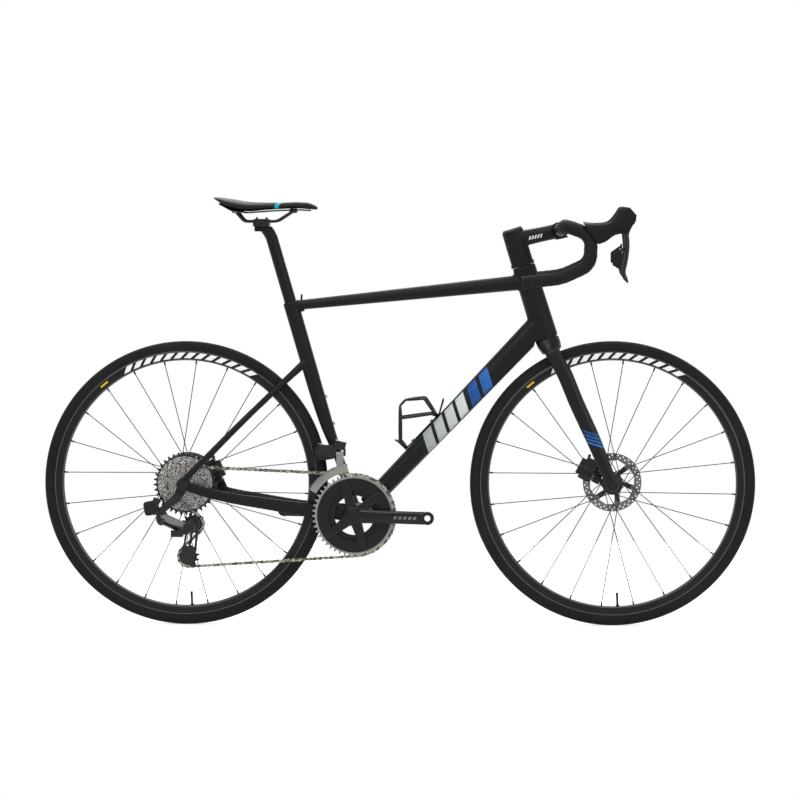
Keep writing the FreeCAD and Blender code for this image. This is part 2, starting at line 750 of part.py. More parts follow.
def stem_front():
    """Everything in front of the faceplate's joint."""
    return box_at(bar_centre + stem_line * 41.5, stem_up, stem_line, 40, 39.5, -40, 40)




def stem_holes():
    """Bores of the stem: steerer, bar, faceplate bolts and clamp bolts."""
    holes = [rod(on_steer(stem_base - 1), on_steer(stem_base + stem_clamp_height + 1), steerer_radius),
             y_rod(bar_centre, -60, 60, bar_clamp_radius)]
    return holes


def stem():
    """Stem body without its faceplate."""
    body = stem_outer().cut(stem_holes() + [stem_split(), stem_front()])
    return body.cut(stem_bolts())


def stem_faceplate():
    """Front cap that clamps the bar."""
    body = stem_outer().common(stem_front()).cut(stem_holes())
    return body.cut(stem_bolts())


def stem_bolts():
    """Faceplate bolts, steerer clamp bolts and the top cap with its bolt."""
    bolts = []
    for y in (-17.5, 17.5):
        c = bar_centre - stem_up * (bar_clamp_radius + 2.3) + V(0, y, 0)
        bolts.append(rod(c - stem_line * 14, c + stem_line * 16, 2.0))
    for t in (stem_base + 12, stem_base + 33):
        c = on_steer(t, spacer_back - 20.0)
        bolts.append(y_rod(c, -17.0, 17.0, 2.0))
    return bolts


def stem_fasteners():
    """Bolts of the stem, and the cap that preloads the headset."""
    return stem_bolts() + [top_cap()]


def top_cap():
    """Cap on top of the stem that preloads the headset."""
    t = stem_base + stem_clamp_height
    cap = loft([section(on_steer(t, spacer_back), steer_front, Y_AXIS, 25.5, 20.0, 2.2),
                section(on_steer(t + 5.0, spacer_back + 1), steer_front, Y_AXIS, 22.5, 17.0, 2.2)])
    return cap


# ---------------------------------------------------------------- handlebar and controls
bar_points = [bar_centre, V(bar_centre.x + 14, -bar_half_width, bar_centre.z + 12),
              V(bar_centre.x + 75, -bar_half_width - 9, bar_centre.z - 11),
              V(bar_centre.x + 72, -bar_half_width - 13, bar_centre.z - 79),
              V(bar_centre.x + 4, -bar_half_width - 15, bar_centre.z - 110),
              V(bar_centre.x - 81, -bar_half_width - 18, bar_centre.z - 119)]
bar_bends = [38.0, 40.0, 38.0, 120.0]
tape_radius = bar_radius + tape_thickness
tape_start_y = 92.0


def bar_path():
    """Centre line of the bar's right half, from the stem to the end of the drop."""
    return filleted_path(bar_points, bar_bends)


def handlebar():
    """Drop bar, thick where the stem clamps it."""
    half = pipe(bar_path(), bar_radius)
    bore = pipe(bar_path(), bar_radius - 2.2)
    grow = Part.makeCone(bar_clamp_radius, bar_radius, 34, bar_centre + V(0, -28, 0.0),
                         (bar_points[1] - bar_centre))
    middle = y_rod(bar_centre, -29, 29, bar_clamp_radius)
    body = half.fuse([mirrored(half), middle, grow, mirrored(grow)])
    return body.cut([bore, mirrored(bore)])


def bar_tape():
    """Wrapped tape on both sides, as a sleeve over the bar."""
    outer = pipe(bar_path(), tape_radius)
    inner = pipe(bar_path(), bar_radius + 0.02)
    keep_out = Part.makeBox(400, tape_start_y * 2, 400, V(bar_centre.x - 200, -tape_start_y,
                                                          bar_centre.z - 200))
    right = outer.cut([inner, keep_out])
    return [right, mirrored(right)]


def bar_end_plugs():
    """Round plugs in the ends of the drops."""
    end = bar_points[-1]
    way = (bar_points[-1] - bar_points[-2]).normalize()
    plug = rod(end - way * 10, end, bar_radius - 2.25).fuse(rod(end + way * 0.0, end + way * 3.5,
                                                                tape_radius))
    return [plug, mirrored(plug)]


hood_y = bar_half_width + 10.0
hood_origin = bar_centre + V(0, -hood_y, 0)
hood_stations = (((54, 21), (91, -31), 17.5), ((97, 17), (108, -24), 15.5), ((116, 21.5), (130, -9), 15.0),
                 ((134, 41), (158, -6), 15.0), ((143, 54), (171, 11), 14.5), ((161, 57), (181, 34), 10.5))
lever_pivot = hood_origin + V(153.0, 0, 7.0)


def hood_shape(shrink):
    """Body of the brake hood; each station has an upper and a lower point of its outline."""
    wires = []
    for top, low, half_y in hood_stations:
        a = hood_origin + V(top[0], 0, top[1])
        b = hood_origin + V(low[0], 0, low[1])
        middle = (a + b) / 2
        up = (a - b).normalize()
        wires.append(section(middle, up, Y_AXIS, (a - b).Length / 2 - shrink, half_y - shrink, 2.5))
    return ruled_loft(wires)


def tape_room():
    """Space of the taped bar, which the lever's body and hood fit round."""
    return pipe(bar_path(), tape_radius + 0.05)


def lever_slot():
    """Open space at the front of the hood in which the lever's head swings."""
    c = lever_pivot
    return plate_xz([(c.x - 17, c.z - 30), (c.x - 13, c.z + 9), (c.x + 12, c.z + 12), (c.x + 30, c.z + 4),
                     (c.x + 30, c.z - 30)], c.y - 7.5, c.y + 7.5)


def hoods():
    """Rubber hoods over the lever bodies."""
    solid = hood_shape(0.0).cut([hood_shape(2.2), tape_room(), lever_slot()])
    right = max(solid.Solids, key=lambda piece: piece.Volume)
    return [right, mirrored(right)]


def lever_bodies():
    """Lever housings with the pivot pin of the brake lever."""
    solid = hood_shape(2.25).cut([tape_room(), lever_slot()])
    right = max(solid.Solids, key=lambda piece: piece.Volume)
    right = right.fuse(y_rod(lever_pivot, lever_pivot.y - 10.0, lever_pivot.y + 10.0, 2.2))
    return [right, mirrored(right)]


lever_outline = [(13, -1), (8, -14), (9.5, -40), (7, -67), (4, -84), (1, -95), (1, -106), (7, -122), (6,
                                                                                                      -127),
                 (1, -124), (-6, -117), (-10, -106), (-7, -94), (-3.5, -75), (-1, -55), (-1, -30), (-4,
                                                                                                    -12),
                 (-7, -4), (-6, 4), (4, 6)]
paddle_pin_back = 4.2
paddle_pin_radius = 1.2
paddle_top = -45.3
paddle_low = -52.7
lug_height = 3.6
paddle_outline = [(-paddle_pin_back, paddle_top), (-9, -47), (-30, -62), (-30, -86), (-14, -96), (-9.0,
                                                                                                  -92),
                  (-8.0, -60), (-8.0, paddle_low), (-paddle_pin_back, paddle_low)]


def lever_blade():
    """Right brake lever with the bore for its pivot pin."""
    c = lever_pivot
    body = plate_xz([(c.x + x, c.z + z) for x, z in lever_outline], c.y - 6.0, c.y + 6.0)
    body = body.cut(y_rod(c, c.y - 20, c.y + 20, 2.2 + running_clearance))
    pin_top = paddle_top + 0.3 + lug_height
    pin_low = paddle_low - 0.3 - lug_height
    shapes = [body, rod(c + V(-paddle_pin_back, 0, pin_low), c + V(-paddle_pin_back, 0, pin_top),
                        paddle_pin_radius)]
    for low in (pin_low, paddle_top + 0.3):
        shapes.append(Part.makeBox(paddle_pin_back, 5.2, lug_height, c + V(-paddle_pin_back, -2.6, low)))
        shapes.append(Part.makeCylinder(2.6, lug_height, c + V(-paddle_pin_back, 0, low), Z_AXIS))
    return joined(shapes)


def shift_paddle():
    """Right shift paddle, which swings on the pin behind the lever."""
    c = lever_pivot
    plate = plate_xz([(c.x + x, c.z + z) for x, z in paddle_outline], c.y - 2.4, c.y + 2.4)
    foot = c + V(-paddle_pin_back, 0, paddle_low)
    barrel = Part.makeCylinder(2.6, paddle_top - paddle_low, foot, Z_AXIS)
    bore = Part.makeCylinder(paddle_pin_radius + running_clearance, 60, foot - Z_AXIS * 30, Z_AXIS)
    return plate.fuse(barrel).cut(bore)


# ---------------------------------------------------------------- seatpost and saddle
clamp = on_seat(saddle_clamp_height) - V(saddle_setback, 0, 0)
rail_height = clamp.z + 2.0
cradle_base = clamp.z - 10.0


def seatpost():
    """Round post that curves back to the saddle clamp."""
    bend = on_seat(clamp.z - 31.0)
    path = filleted_path([on_seat(seatpost_foot_height), bend, clamp + V(-2, 0, 2)], [70.0])
    body = pipe(path, seatpost_radius).cut(pipe(path, seatpost_radius - 2.6))
    head = box_at(V(clamp.x, 0, cradle_base - 6), X_AXIS, Z_AXIS, 17, 6, -13, 13)
    above = Part.makeBox(200, 200, 60, V(clamp.x - 100, -100, cradle_base))
    return body.fuse(head).cut([above] + saddle_bolts())


def saddle_bolts():
    """Two upright clamp bolts, in front of and behind the post."""
    bolts = []
    for x in (-11.5, 11.5):
        start = clamp + V(x, 0, -17)
        bolts.append(rod(start, start + V(0, 0, 29), bolt_radius))
    return bolts


def saddle_clamp():
    """Lower cradle, upper yoke and the bolts' barrel nuts."""
    c = clamp
    lower = box_at(V(c.x, 0, (cradle_base + rail_height) / 2), X_AXIS, Z_AXIS, 19,
                   (rail_height - cradle_base) / 2, -28, 28)
    upper = box_at(V(c.x, 0, rail_height + 3.2), X_AXIS, Z_AXIS, 17, 2.7, -28, 28)
    rails = saddle_rails()
    bolts = saddle_bolts()
    return [lower.cut(rails + bolts), upper.cut(rails + bolts)] + bolts


def saddle_rails():
    """Two rails, bent up to the nose in front and to the shell behind."""
    points = [V(clamp.x - 60, -rail_spacing / 2 - 12, clamp.z + 26), V(clamp.x - 40, -rail_spacing / 2,
                                                                       rail_height),
              V(clamp.x + 38, -rail_spacing / 2, rail_height), V(clamp.x + 78, -11.0, clamp.z + 28)]
    right = pipe(filleted_path(points, [16.0, 30.0]), rail_radius)
    return [right, mirrored(right)]


saddle_stations = ((-114.0, 59.5, 56.5, 38.0), (-99.0, 58.8, 43.5, 63.0), (-68.0, 55.0, 27.0, 72.5),
                   (-34.0, 49.5, 22.0, 64.0), (7.0, 47.6, 25.0, 40.0), (47.0, 47.6, 27.5, 27.0),
                   (92.0, 47.6, 28.5, 21.0), (118.0, 43.0, 27.0, 17.5), (134.0, 33.5, 26.0, 10.5))
saddle_shell_gap = 3.8


def saddle_cover():
    """Padded cover as one soft solid; stations run from the tail to the nose."""
    wires = []
    for x, top, low, half_y in saddle_stations:
        base = min(low + saddle_shell_gap, top - 2.4)
        scale = half_y / 72.5 * saddle_width / 2
        centre = clamp + V(x * saddle_length / 250.0, 0, (top + base) / 2)
        wires.append(flat_section(centre, Z_AXIS, Y_AXIS, (top - base) / 2, scale, 2.4))
    return ruled_loft(wires)


def saddle_shell():
    """Stiff shell under the cover, with sockets for the rails."""
    wires = []
    for x, top, low, half_y in saddle_stations[1:-1]:
        scale = half_y / 72.5 * saddle_width / 2 - 4.0
        centre = clamp + V(x * saddle_length / 250.0, 0, low + 0.4)
        wires.append(flat_section(centre, Z_AXIS, Y_AXIS, 2.0, scale, 2.2))
    shell = ruled_loft(wires)
    front = rod(clamp + V(68, -11, 27), clamp + V(84, -11, 27), 5.5)
    rear = rod(clamp + V(-62, -rail_spacing / 2 - 12, 22), clamp + V(-62, -rail_spacing / 2 - 12, 32), 6.5)
    shell = shell.fuse([front, mirrored(front), rear, mirrored(rear)])
    return shell.cut(saddle_rails() + [saddle_cover()])


# ---------------------------------------------------------------- wheels
def tyre(axle):
    """Tyre casing, open at the beads, which sit inside the rim's flanges."""
    half = tyre_width / 2
    inner = half - tyre_wall
    centre_r = tyre_radius - half
    bead_y = rim_width / 2 - rim_wall - 0.6
    start = math.asin(bead_y / half)
    neck = (rim_outer_radius + 0.5, bead_y - 0.1)
    outside = []
    inside = []
    for k in range(1, 14):
        a = start + (2 * math.pi - 2 * start) * k / 14
        outside.append((centre_r - half * math.cos(a), half * math.sin(a)))
        inside.append((centre_r - inner * math.cos(a), inner * math.sin(a) * 0.98))
    points = [(bead_seat_radius, bead_y), neck] + outside
    points += [(neck[0], -neck[1]), (bead_seat_radius, -bead_y), (bead_seat_radius, tyre_wall - bead_y)]
    points += inside[::-1] + [(bead_seat_radius, bead_y - tyre_wall)]
    return revolved(points, axle)


def rim(axle, angles):
    """Hollow rim with hooked flanges, drilled for the nipples and the valve."""
    half = rim_width / 2
    w = rim_wall
    seat = half - w - 0.6
    outer = [(rim_outer_radius, half - 0.8), (rim_outer_radius, half - w - 0.5), (bead_seat_radius - 0.05,
                                                                                  seat),
             (bead_seat_radius - 0.05, 4.5), (bead_seat_radius - 3.0, 3.0), (bead_seat_radius - 3.0, -3.0),
             (bead_seat_radius - 0.05, -4.5), (bead_seat_radius - 0.05, -seat),
             (rim_outer_radius, -half + w + 0.5), (rim_outer_radius, -half + 0.8), (308.0, -half),
             (rim_inner_radius + 5, -half + 3.5), (rim_inner_radius, -4.5), (rim_inner_radius, 4.5),
             (rim_inner_radius + 5, half - 3.5), (308.0, half)]
    hollow = [(306.0, half - w - 0.6), (306.0, -half + w + 0.6), (rim_inner_radius + 6, -half + 5.2),
              (rim_inner_radius + w, -4.0), (rim_inner_radius + w, 4.0), (rim_inner_radius + 6, half - 5.2)]
    body = revolved(outer, axle).cut(revolved(hollow, axle))
    cuts = [nipple(axle, angle, 2.0) for angle in angles]
    cuts.append(valve_stem(axle, 3.0))
    return body.cut(cuts)


def spoke_angles():
    """Rim positions of the spokes; even ones go to the right flange."""
    return [10.0 + 360.0 * k / spoke_count for k in range(spoke_count)]


def rim_point(axle, angle, radius, y=0.0):
    """Point at an angle and radius about an axle."""
    a = math.radians(angle)
    return V(axle.x + radius * math.cos(a), y, axle.z + radius * math.sin(a))


def spoke_ends(axle, k, angle, flange_right, flange_left):
    """Ends of one spoke: tangent to its flange circle, and its place in the rim."""
    on_right = k % 2 == 0
    flange = flange_right if on_right else flange_left
    way = 1 if (k // 2) % 2 == 0 else -1
    rim_y = -1.5 if on_right else 1.5
    outer = rim_inner_radius - 8.0
    lean = math.degrees(math.acos(spoke_tangent_radius / outer))
    hub_angle = angle + way * lean
    past = rim_point(axle, hub_angle, spoke_tangent_radius, flange + way * 1.6)
    end = rim_point(axle, angle, outer, rim_y)
    return past, end


def nipple(axle, angle, radius):
    """Nipple through the rim's inner wall."""
    return rod(rim_point(axle, angle, rim_inner_radius - 8.0, 0), rim_point(axle, angle,
                                                                            rim_inner_radius + 4.0, 0),
               radius)


def spokes(axle, flange_right, flange_left):
    """Straight-pull spokes and their nipples."""
    parts = []
    for k, angle in enumerate(spoke_angles()):
        start, end = spoke_ends(axle, k, angle, flange_right, flange_left)
        end.y = 0
        parts.append(rod(start, end, spoke_radius))
        parts.append(nipple(axle, angle, 2.0))
    return parts


valve_angle = -87.5


def valve_stem(axle, radius):
    """Valve through the rim, pointing at the hub."""
    return rod(rim_point(axle, valve_angle, rim_inner_radius - valve_length + 18),
               rim_point(axle, valve_angle, bead_seat_radius - 1.0), radius)


def rim_and_valve(axle):
    """Rim with the valve as a separate solid."""
    return [rim(axle, spoke_angles()), valve_stem(axle, 3.0)]


def hub(profile, axle, flange_right, flange_left):
    """Hub shell with slots for the spoke heads."""
    body = revolved(profile, axle)
    heads = []
    for k, angle in enumerate(spoke_angles()):
        start, end = spoke_ends(axle, k, angle, flange_right, flange_left)
        end.y = 0
        heads.append(rod(start, start + (end - start).normalize() * 30, spoke_radius))
    return body.cut(heads)


def front_hub():
    """Front hub shell, which turns on the thru axle."""
    end = front_dropout_y - 0.3
    bore = axle_radius + running_clearance
    profile = [(bore, -end), (10, -end), (10, -44), (12, -42), (12, -40), (20, -38), (24.5, -37), (24.5,
                                                                                                   -30),
               (14, -27), (12.5, 0), (14, 14), (24.5, 17), (24.5, 25), (17, 28), (17, front_rotor_y + 3.5),
               (10, front_rotor_y + 4.5), (10, end), (bore, end)]
    return hub(profile, front_axle, front_flanges[0], front_flanges[1])


front_flanges = (-33.5, 21.0)
rear_flanges = (-18.5, 35.5)
freehub_bore = 9.0


def rear_hub():
    """Rear hub shell with the spigot that carries the freehub."""
    end = rear_dropout_y - 0.3
    bore = axle_radius + running_clearance
    profile = [(bore, -end), (freehub_bore, -end), (freehub_bore, -23.6), (20, -23.6), (25.0, -22.5),
               (25.0, -15), (15, -12), (13, 0), (15, 27), (24.5, 31), (24.5, 40), (17, 43),
               (17, rear_rotor_y + 3.5), (10, rear_rotor_y + 4.5), (10, end), (bore, end)]
    return hub(profile, rear_axle, rear_flanges[0], rear_flanges[1])


def rotor(axle, y):
    """Brake rotor with windows, vent holes and its lockring."""
    half = rotor_thickness / 2
    disc = y_ring(axle, y - half, y + half, rotor_radius, 17.0)
    windows = []
    for k in range(6):
        a = 60.0 * k + 15
        points = []
        for radius, shift in ((52.0, -22), (54.5, 0), (52.0, 22), (26.5, 27), (26.5, -12)):
            p = rim_point(axle, a + shift, radius)
            points.append((p.x, p.z))
        windows.append(plate_xz(points, y - 3, y + 3))
    for k in range(30):
        for radius, shift in ((60.5, 0), (65.5, 6)):
            p = rim_point(axle, 12.0 * k + shift, radius)
            windows.append(y_rod(p, y - 3, y + 3, 1.7))
    lockring = y_ring(axle, y + half, y + half + 2.2, 21.0, 17.0)
    return [disc.cut(windows), lockring]


# ---------------------------------------------------------------- chain line
def tangent_angle(first, second):
    """Angle of the outward normal of the chain run from one wheel to the next."""
    (c1, r1, s1), (c2, r2, s2) = first, second
    line = c2 - c1
    reach = math.hypot(line.x, line.z)
    return math.degrees(math.atan2(line.z, line.x) + math.acos((s1 * r1 - s2 * r2) / reach))


def chain_course(cage_angle):
    """Wheels that the chain passes in its own order, with the angles where it meets and leaves each."""
    guide = rear_axle + V(guide_offset[0], 0, guide_offset[1])
    a = math.radians(cage_angle)
    tension = guide + V(-math.sin(a), 0, -math.cos(a)) * cage_length
    wheels = [(bb, outer_ring_teeth, 1), (tension, pulley_teeth, 1), (guide, pulley_teeth, -1),
              (rear_axle, cog_teeth[driven_cog], 1)]
    circles = [(c, pitch_radius(n), s) for c, n, s in wheels]
    normals = [tangent_angle(circles[k], circles[(k + 1) % 4]) for k in range(4)]
    course = []
    total = 0.0
    for k, (centre, teeth, sense) in enumerate(wheels):
        turned = 0 if sense > 0 else 180
        arrive = normals[k - 1] + turned
        leave = normals[k] + turned
        wrap = (arrive - leave) % 360 if sense > 0 else (leave - arrive) % 360
        after = circles[(k + 1) % 4]
        start = rim_point(centre, leave, circles[k][1])
        end = rim_point(after[0], normals[k] + (0 if after[2] > 0 else 180), after[1])
        course.append((centre, teeth, sense, arrive, wrap, start, end, total))
        total += wrap / 360.0 * teeth * chain_pitch + (end - start).Length
    return course, total


def solve_cage():
    """Cage angle at which the chain is a whole, even number of links long."""
    nominal = 10.2
    links = 2 * round(chain_course(nominal)[1] / chain_pitch / 2)
    low, high = nominal - 16.0, nominal + 16.0
    low_long = chain_course(low)[1] > links * chain_pitch
    for _ in range(50):
        middle = (low + high) / 2
        if (chain_course(middle)[1] > links * chain_pitch) == low_long:
            low = middle
        else:
            high = middle
    return (low + high) / 2, links


cage_rest_angle, link_count = solve_cage()
course, course_length = chain_course(cage_rest_angle)
tension_centre = course[1][0]
guide_centre = course[2][0]


def wheel_phase(index):
    """Angle in degrees of the first roller that lies on a wheel."""
    centre, teeth, sense, arrive, wrap, start, end, begin = course[index]
    first = math.ceil(begin / chain_pitch - 1e-9) * chain_pitch
    step = (first - begin) / chain_pitch * 360.0 / teeth
    return arrive - sense * step


def chain_point(k):
    """Centre of roller k along the chain's course."""
    s = (k * chain_pitch) % course_length
    for centre, teeth, sense, arrive, wrap, start, end, begin in course:
        arc = wrap / 360.0 * teeth * chain_pitch
        if s < begin + arc:
            angle = arrive - sense * (s - begin) / chain_pitch * 360.0 / teeth
            return rim_point(centre, angle, pitch_radius(teeth), -chain_line)
        if s <= begin + arc + (end - start).Length + 1e-6:
            way = (end - start).normalize()
            p = start + way * (s - begin - arc)
            return V(p.x, -chain_line, p.z)
    return rim_point(course[0][0], course[0][3], pitch_radius(outer_ring_teeth), -chain_line)


rivet_height = 0.08


def chain_link(inner):
    """One link at the origin, from its first pin to the next along X."""
    last = V(chain_pitch, 0, 0)
    near, far = (1.15, 1.85) if inner else (1.87, 2.57)
    shapes = []
    for side in (-1, 1):
        y_low, y_high = sorted((side * near, side * far))
        waist = Part.makeBox(chain_pitch, y_high - y_low, 6.0, V(0, y_low, -3.0))
        shapes += [waist, y_rod(V(0, 0, 0), y_low, y_high, 4.1), y_rod(last, y_low, y_high, 4.1)]
    pin = 1.8
    for p in (V(0, 0, 0), last):
        if inner:
            shapes.append(y_rod(p, -near, near, roller_radius))
        else:
            shapes.append(y_rod(p, -far - rivet_height, far + rivet_height, pin))
    body = shapes[0].fuse(shapes[1:])
    if inner:
        body = body.cut([y_rod(V(0, 0, 0), -4, 4, pin + 0.06), y_rod(last, -4, 4, pin + 0.06)])
    return body.removeSplitter()


def chain():
    """Closed chain of alternating inner and outer links."""
    kinds = [chain_link(True), chain_link(False)]
    links = []
    for k in range(link_count):
        a = chain_point(k)
        b = chain_point(k + 1)
        link = kinds[k % 2].copy()
        turn = math.degrees(math.atan2(b.z - a.z, b.x - a.x))
        link.rotate(V(0, 0, 0), Y_AXIS, -turn)
        link.translate(a)
        links.append(link)
    return links


# ---------------------------------------------------------------- cassette and cranks
freehub_radius = 15.0


def cog_y(index):
    """Plane of a cog; cog 0 is the smallest and outermost."""
    return -chain_line + (index - driven_cog) * cog_spacing


def cassette():
    """All cogs and the lockring."""
    parts = []
    for index, teeth in enumerate(cog_teeth):
        y = cog_y(index)
        phase = wheel_phase(3) if index == driven_cog else 7.0 * index
        cog = toothed_disc(rear_axle, teeth, phase, y - cog_thickness / 2, y + cog_thickness / 2)
        cuts = [y_rod(rear_axle, y - 3, y + 3, freehub_radius)]
        if teeth >= 19:
            window_radius = (freehub_radius + pitch_radius(teeth) - root_depth) / 2 + 2.0
            web_limit = 0.84 * window_radius * math.sin(math.radians(20))
            size = min((pitch_radius(teeth) - root_depth - freehub_radius) / 2 - 6.0, web_limit)
            for k in range(9):
                cuts.append(y_rod(rim_point(rear_axle, 40.0 * k + 9 * index, window_radius), y - 3, y + 3,
                                  size))
        parts.append(cog.cut(cuts))
    outer = cog_y(0) - cog_thickness / 2
    parts.append(y_ring(rear_axle, outer - 1.6, outer, 16.2, 11.0))
    parts.append(freehub())
    return parts


def freehub():
    """Freehub body that turns on the hub's spigot and carries the cogs."""
    outer = cog_y(0) - cog_thickness / 2
    body = y_ring(rear_axle, outer, -24.2, freehub_radius, freehub_bore + running_clearance)
    spacer_rings = []
    for index in range(len(cog_teeth) - 1):
        y = cog_y(index) + cog_thickness / 2
        spacer_rings.append(y_ring(rear_axle, y, y + cog_spacing - cog_thickness, 16.2,
                                   freehub_radius - 0.5))
    return body.fuse(spacer_rings).removeSplitter()


bolt_circle = 53.5
spider_angles = (41.0, 108.0, 219.0, 289.0)
arm_inner_y = 60.5
arm_outer_y = 74.0
spider_face = 46.6


def on_crank(distance, angle=0.0, y=0.0):
    """Point on the crank set, measured from the right arm's direction."""
    p = rim_point(bb, crank_angle + angle, distance)
    return V(p.x, y, p.z)


def crank_arm(sign, turned):
    """One crank arm with its pedal thread; sign is the side in Y."""
    a = math.radians(crank_angle + turned)
    along = V(math.cos(a), 0, math.sin(a))
    up = V(-along.z, 0, along.x)
    wires = []
    for distance, y, half_u, half_v in ((-6.0, 57.0, 18.0, 8.5), (40.0, 59.5, 16.5, 8.0),
                                        (110.0, 64.5, 15.5, 6.8), (crank_length, 67.2, 15.8, 6.6)):
        centre = bb + along * distance + V(0, sign * y, 0)
        wires.append(section(centre, up, Y_AXIS, half_u, half_v, 3.2))
    body = loft(wires)
    tip = bb + along * crank_length
    low, high = sorted((sign * arm_inner_y, sign * arm_outer_y))
    root_low, root_high = sorted((sign * 47.0, sign * 65.5))
    body = body.fuse([y_rod(tip, low, high, 15.8), y_rod(bb, root_low, root_high, 19.0)])
    return body.cut(y_rod(tip, -100, 100, pedal_hole_radius))


def crank_arm_right():
    """Drive-side crank arm with the four-armed spider."""
    shapes = []
    for angle in spider_angles:
        start = on_crank(0)
        end = on_crank(76.0, angle)
        shapes.append(strap(start, end, 15.0, 8.5, -52.5, -spider_face))
        boss = on_crank(bolt_circle, angle)
        shapes.append(y_rod(boss, -spider_face - 1, -chain_line + ring_gap - 1.0, 6.5))
    shapes.append(strap(on_crank(0), on_crank(70), 17.0, 12.0, -58.0, -spider_face))
    body = crank_arm(-1, 0.0).fuse(shapes)
    cuts = [y_rod(on_crank(bolt_circle, angle), -60, -30, 4.0) for angle in spider_angles]
    cuts.append(y_rod(bb, -60.5, 0, spindle_radius))
    cuts.append(y_rod(bb, -90, 0, 9.0))
    return body.cut(cuts)


def crank_arm_left():
    """Left crank arm, clamped on the spindle."""
    body = crank_arm(1, 180.0)
    return body.cut([y_rod(bb, 0, 60, spindle_radius), y_rod(bb, 0, 90, 7.0)])


def chainrings():
    """Outer ring with its carrying web, and the inner ring."""
    y = -chain_line
    outer = toothed_disc(bb, outer_ring_teeth, wheel_phase(0), y - 0.9, y + 0.9)
    outer = outer.fuse(y_rod(bb, -spider_face + 0.1, y - 0.9, 88.0)).cut(y_rod(bb, -60, 0, 61.0))
    y_in = y + ring_gap
    inner = toothed_disc(bb, inner_ring_teeth, 3.0, y_in - 0.9, y_in + 0.9).cut(y_rod(bb, -60, 0, 47.0))
    holes = [y_rod(on_crank(bolt_circle, angle), -60, -30, 4.0) for angle in spider_angles]
    return [outer, inner.cut(holes)]


bolt_head_height = 0.9


def chainring_bolts():
    """Bolts that hold the rings on the spider."""
    bolts = []
    inner_face = -chain_line + ring_gap + 0.9
    for angle in spider_angles:
        c = on_crank(bolt_circle, angle)
        bolts.append(y_rod(c, -53.5, inner_face, 4.0).fuse(y_rod(c, inner_face,
                                                                 inner_face + bolt_head_height, 6.0)))
    return bolts


def crank_spindle():
    """Hollow spindle, crank bolt and preload collar."""
    spindle = y_rod(bb, -60.0, 60.0, spindle_radius).cut(y_rod(bb, -70, 70, 11.0))
    bolt = y_rod(bb, -66.0, -60.5, 9.0).cut(y_rod(bb, -67, -63, 4.0))
    collar = y_ring(bb, 45.2, 46.9, 21.0, spindle_radius)
    return [spindle, bolt, collar]


# ---------------------------------------------------------------- rear derailleur
cage_inner = -chain_line + 4.6
cage_outer = -chain_line - 4.6
plate_thickness = 1.5
link_pivot = rear_axle + V(-46.5, -92.0, -74.0)
link_line = V(47.0, 0, -21.0)
slant = math.radians(40.0)
link_flat = V(21.0, 0, 47.0).normalize()
link_axis = link_flat * math.cos(slant) + V(0, math.sin(slant), 0)
link_side = link_axis.cross(link_line).normalize()
inner_link_shift = link_side * 16.0
pin_radius = 2.0


def pulley(centre, phase):
    """Toothed pulley wheel with a hub that turns on the cage's pin."""
    y = -chain_line
    disc = toothed_disc(centre, pulley_teeth, phase, y - 1.0, y + 1.0)
    hub_body = y_rod(centre, cage_outer + 0.2, cage_inner - 0.2, 7.0)
    windows = [y_rod(rim_point(centre, phase + 60 * k, 13.5), y - 3, y + 3, 3.4) for k in range(6)]
    return disc.fuse(hub_body).cut(windows + [y_rod(centre, y - 20, y + 20, 3.0 + running_clearance)])


def guide_pulley():
    """Upper pulley."""
    return pulley(guide_centre, wheel_phase(2))


def tension_pulley():
    """Lower pulley."""
    return pulley(tension_centre, wheel_phase(1))


def rd_cage():
    """Cage plates, their pins and the pivot that turns in the knuckle."""
    line = (tension_centre - guide_centre).normalize()
    side = V(-line.z, 0, line.x)
    windows = []
    for share, across in ((0.38, -7.0), (0.38, 6.0), (0.56, 6.5), (0.56, -7.5)):
        c = guide_centre + line * (cage_length * share) + side * across
        windows.append(strap(c - line * 6, c + line * 7, 3.6, 4.2, -70, 0))
    plates = []
    for low, high in ((cage_inner, cage_inner + plate_thickness), (cage_outer - plate_thickness,
                                                                   cage_outer)):
        plate = strap(guide_centre, tension_centre, 14.5, 17.0, low, high)
        heel = strap(tension_centre + line * 9 - side * 8, tension_centre + line * 19 + side * 16, 9.0,
                     4.5, low, high)
        plates.append(plate.fuse(heel).cut(windows))
    spread = (cage_outer - plate_thickness, cage_inner + plate_thickness)
    pins = [y_rod(guide_centre, spread[0], spread[1], 3.0), y_rod(tension_centre, spread[0], spread[1],
                                                                  3.0)]
    pins.append(y_rod(guide_centre, cage_outer - 14.0, cage_outer - plate_thickness, 5.0))
    return plates[0].fuse([plates[1]] + pins)


def tilted_strap(first, second, radius, low, high):
    """Round-ended link square to the parallelogram's pivot axis."""
    a = first + link_axis * low
    b = second + link_axis * low
    line = (second - first).normalize()
    side = link_axis.cross(line).normalize() * radius
    corners = [a + side, b + side, b - side, a - side]
    face = Part.Face(Part.makePolygon(corners + corners[:1]))
    body = face.extrude(link_axis * (high - low))
    ends = [Part.makeCylinder(radius, high - low, a, link_axis), Part.makeCylinder(radius, high - low, b,
                                                                                   link_axis)]
    return body.fuse(ends).removeSplitter()


def link_bar(start):
    """One bar of the parallelogram with running bores for its two pins."""
    body = tilted_strap(start, start + link_line, 5.0, -8.0, 8.0)
    bores = []
    for p in (start, start + link_line):
        bores.append(Part.makeCylinder(pin_radius + running_clearance, 40, p - link_axis * 20, link_axis))
    return body.cut(bores)


def rd_outer_link():
    """Outer bar of the parallelogram."""
    return link_bar(link_pivot)


def rd_inner_link():
    """Inner bar; its pivot at the knuckle is left loose on the pin."""
    body = link_bar(link_pivot + inner_link_shift)
    far = link_pivot + inner_link_shift + link_line
    return body.cut(Part.makeCylinder(pin_radius + 0.25, 40, far - link_axis * 20, link_axis))


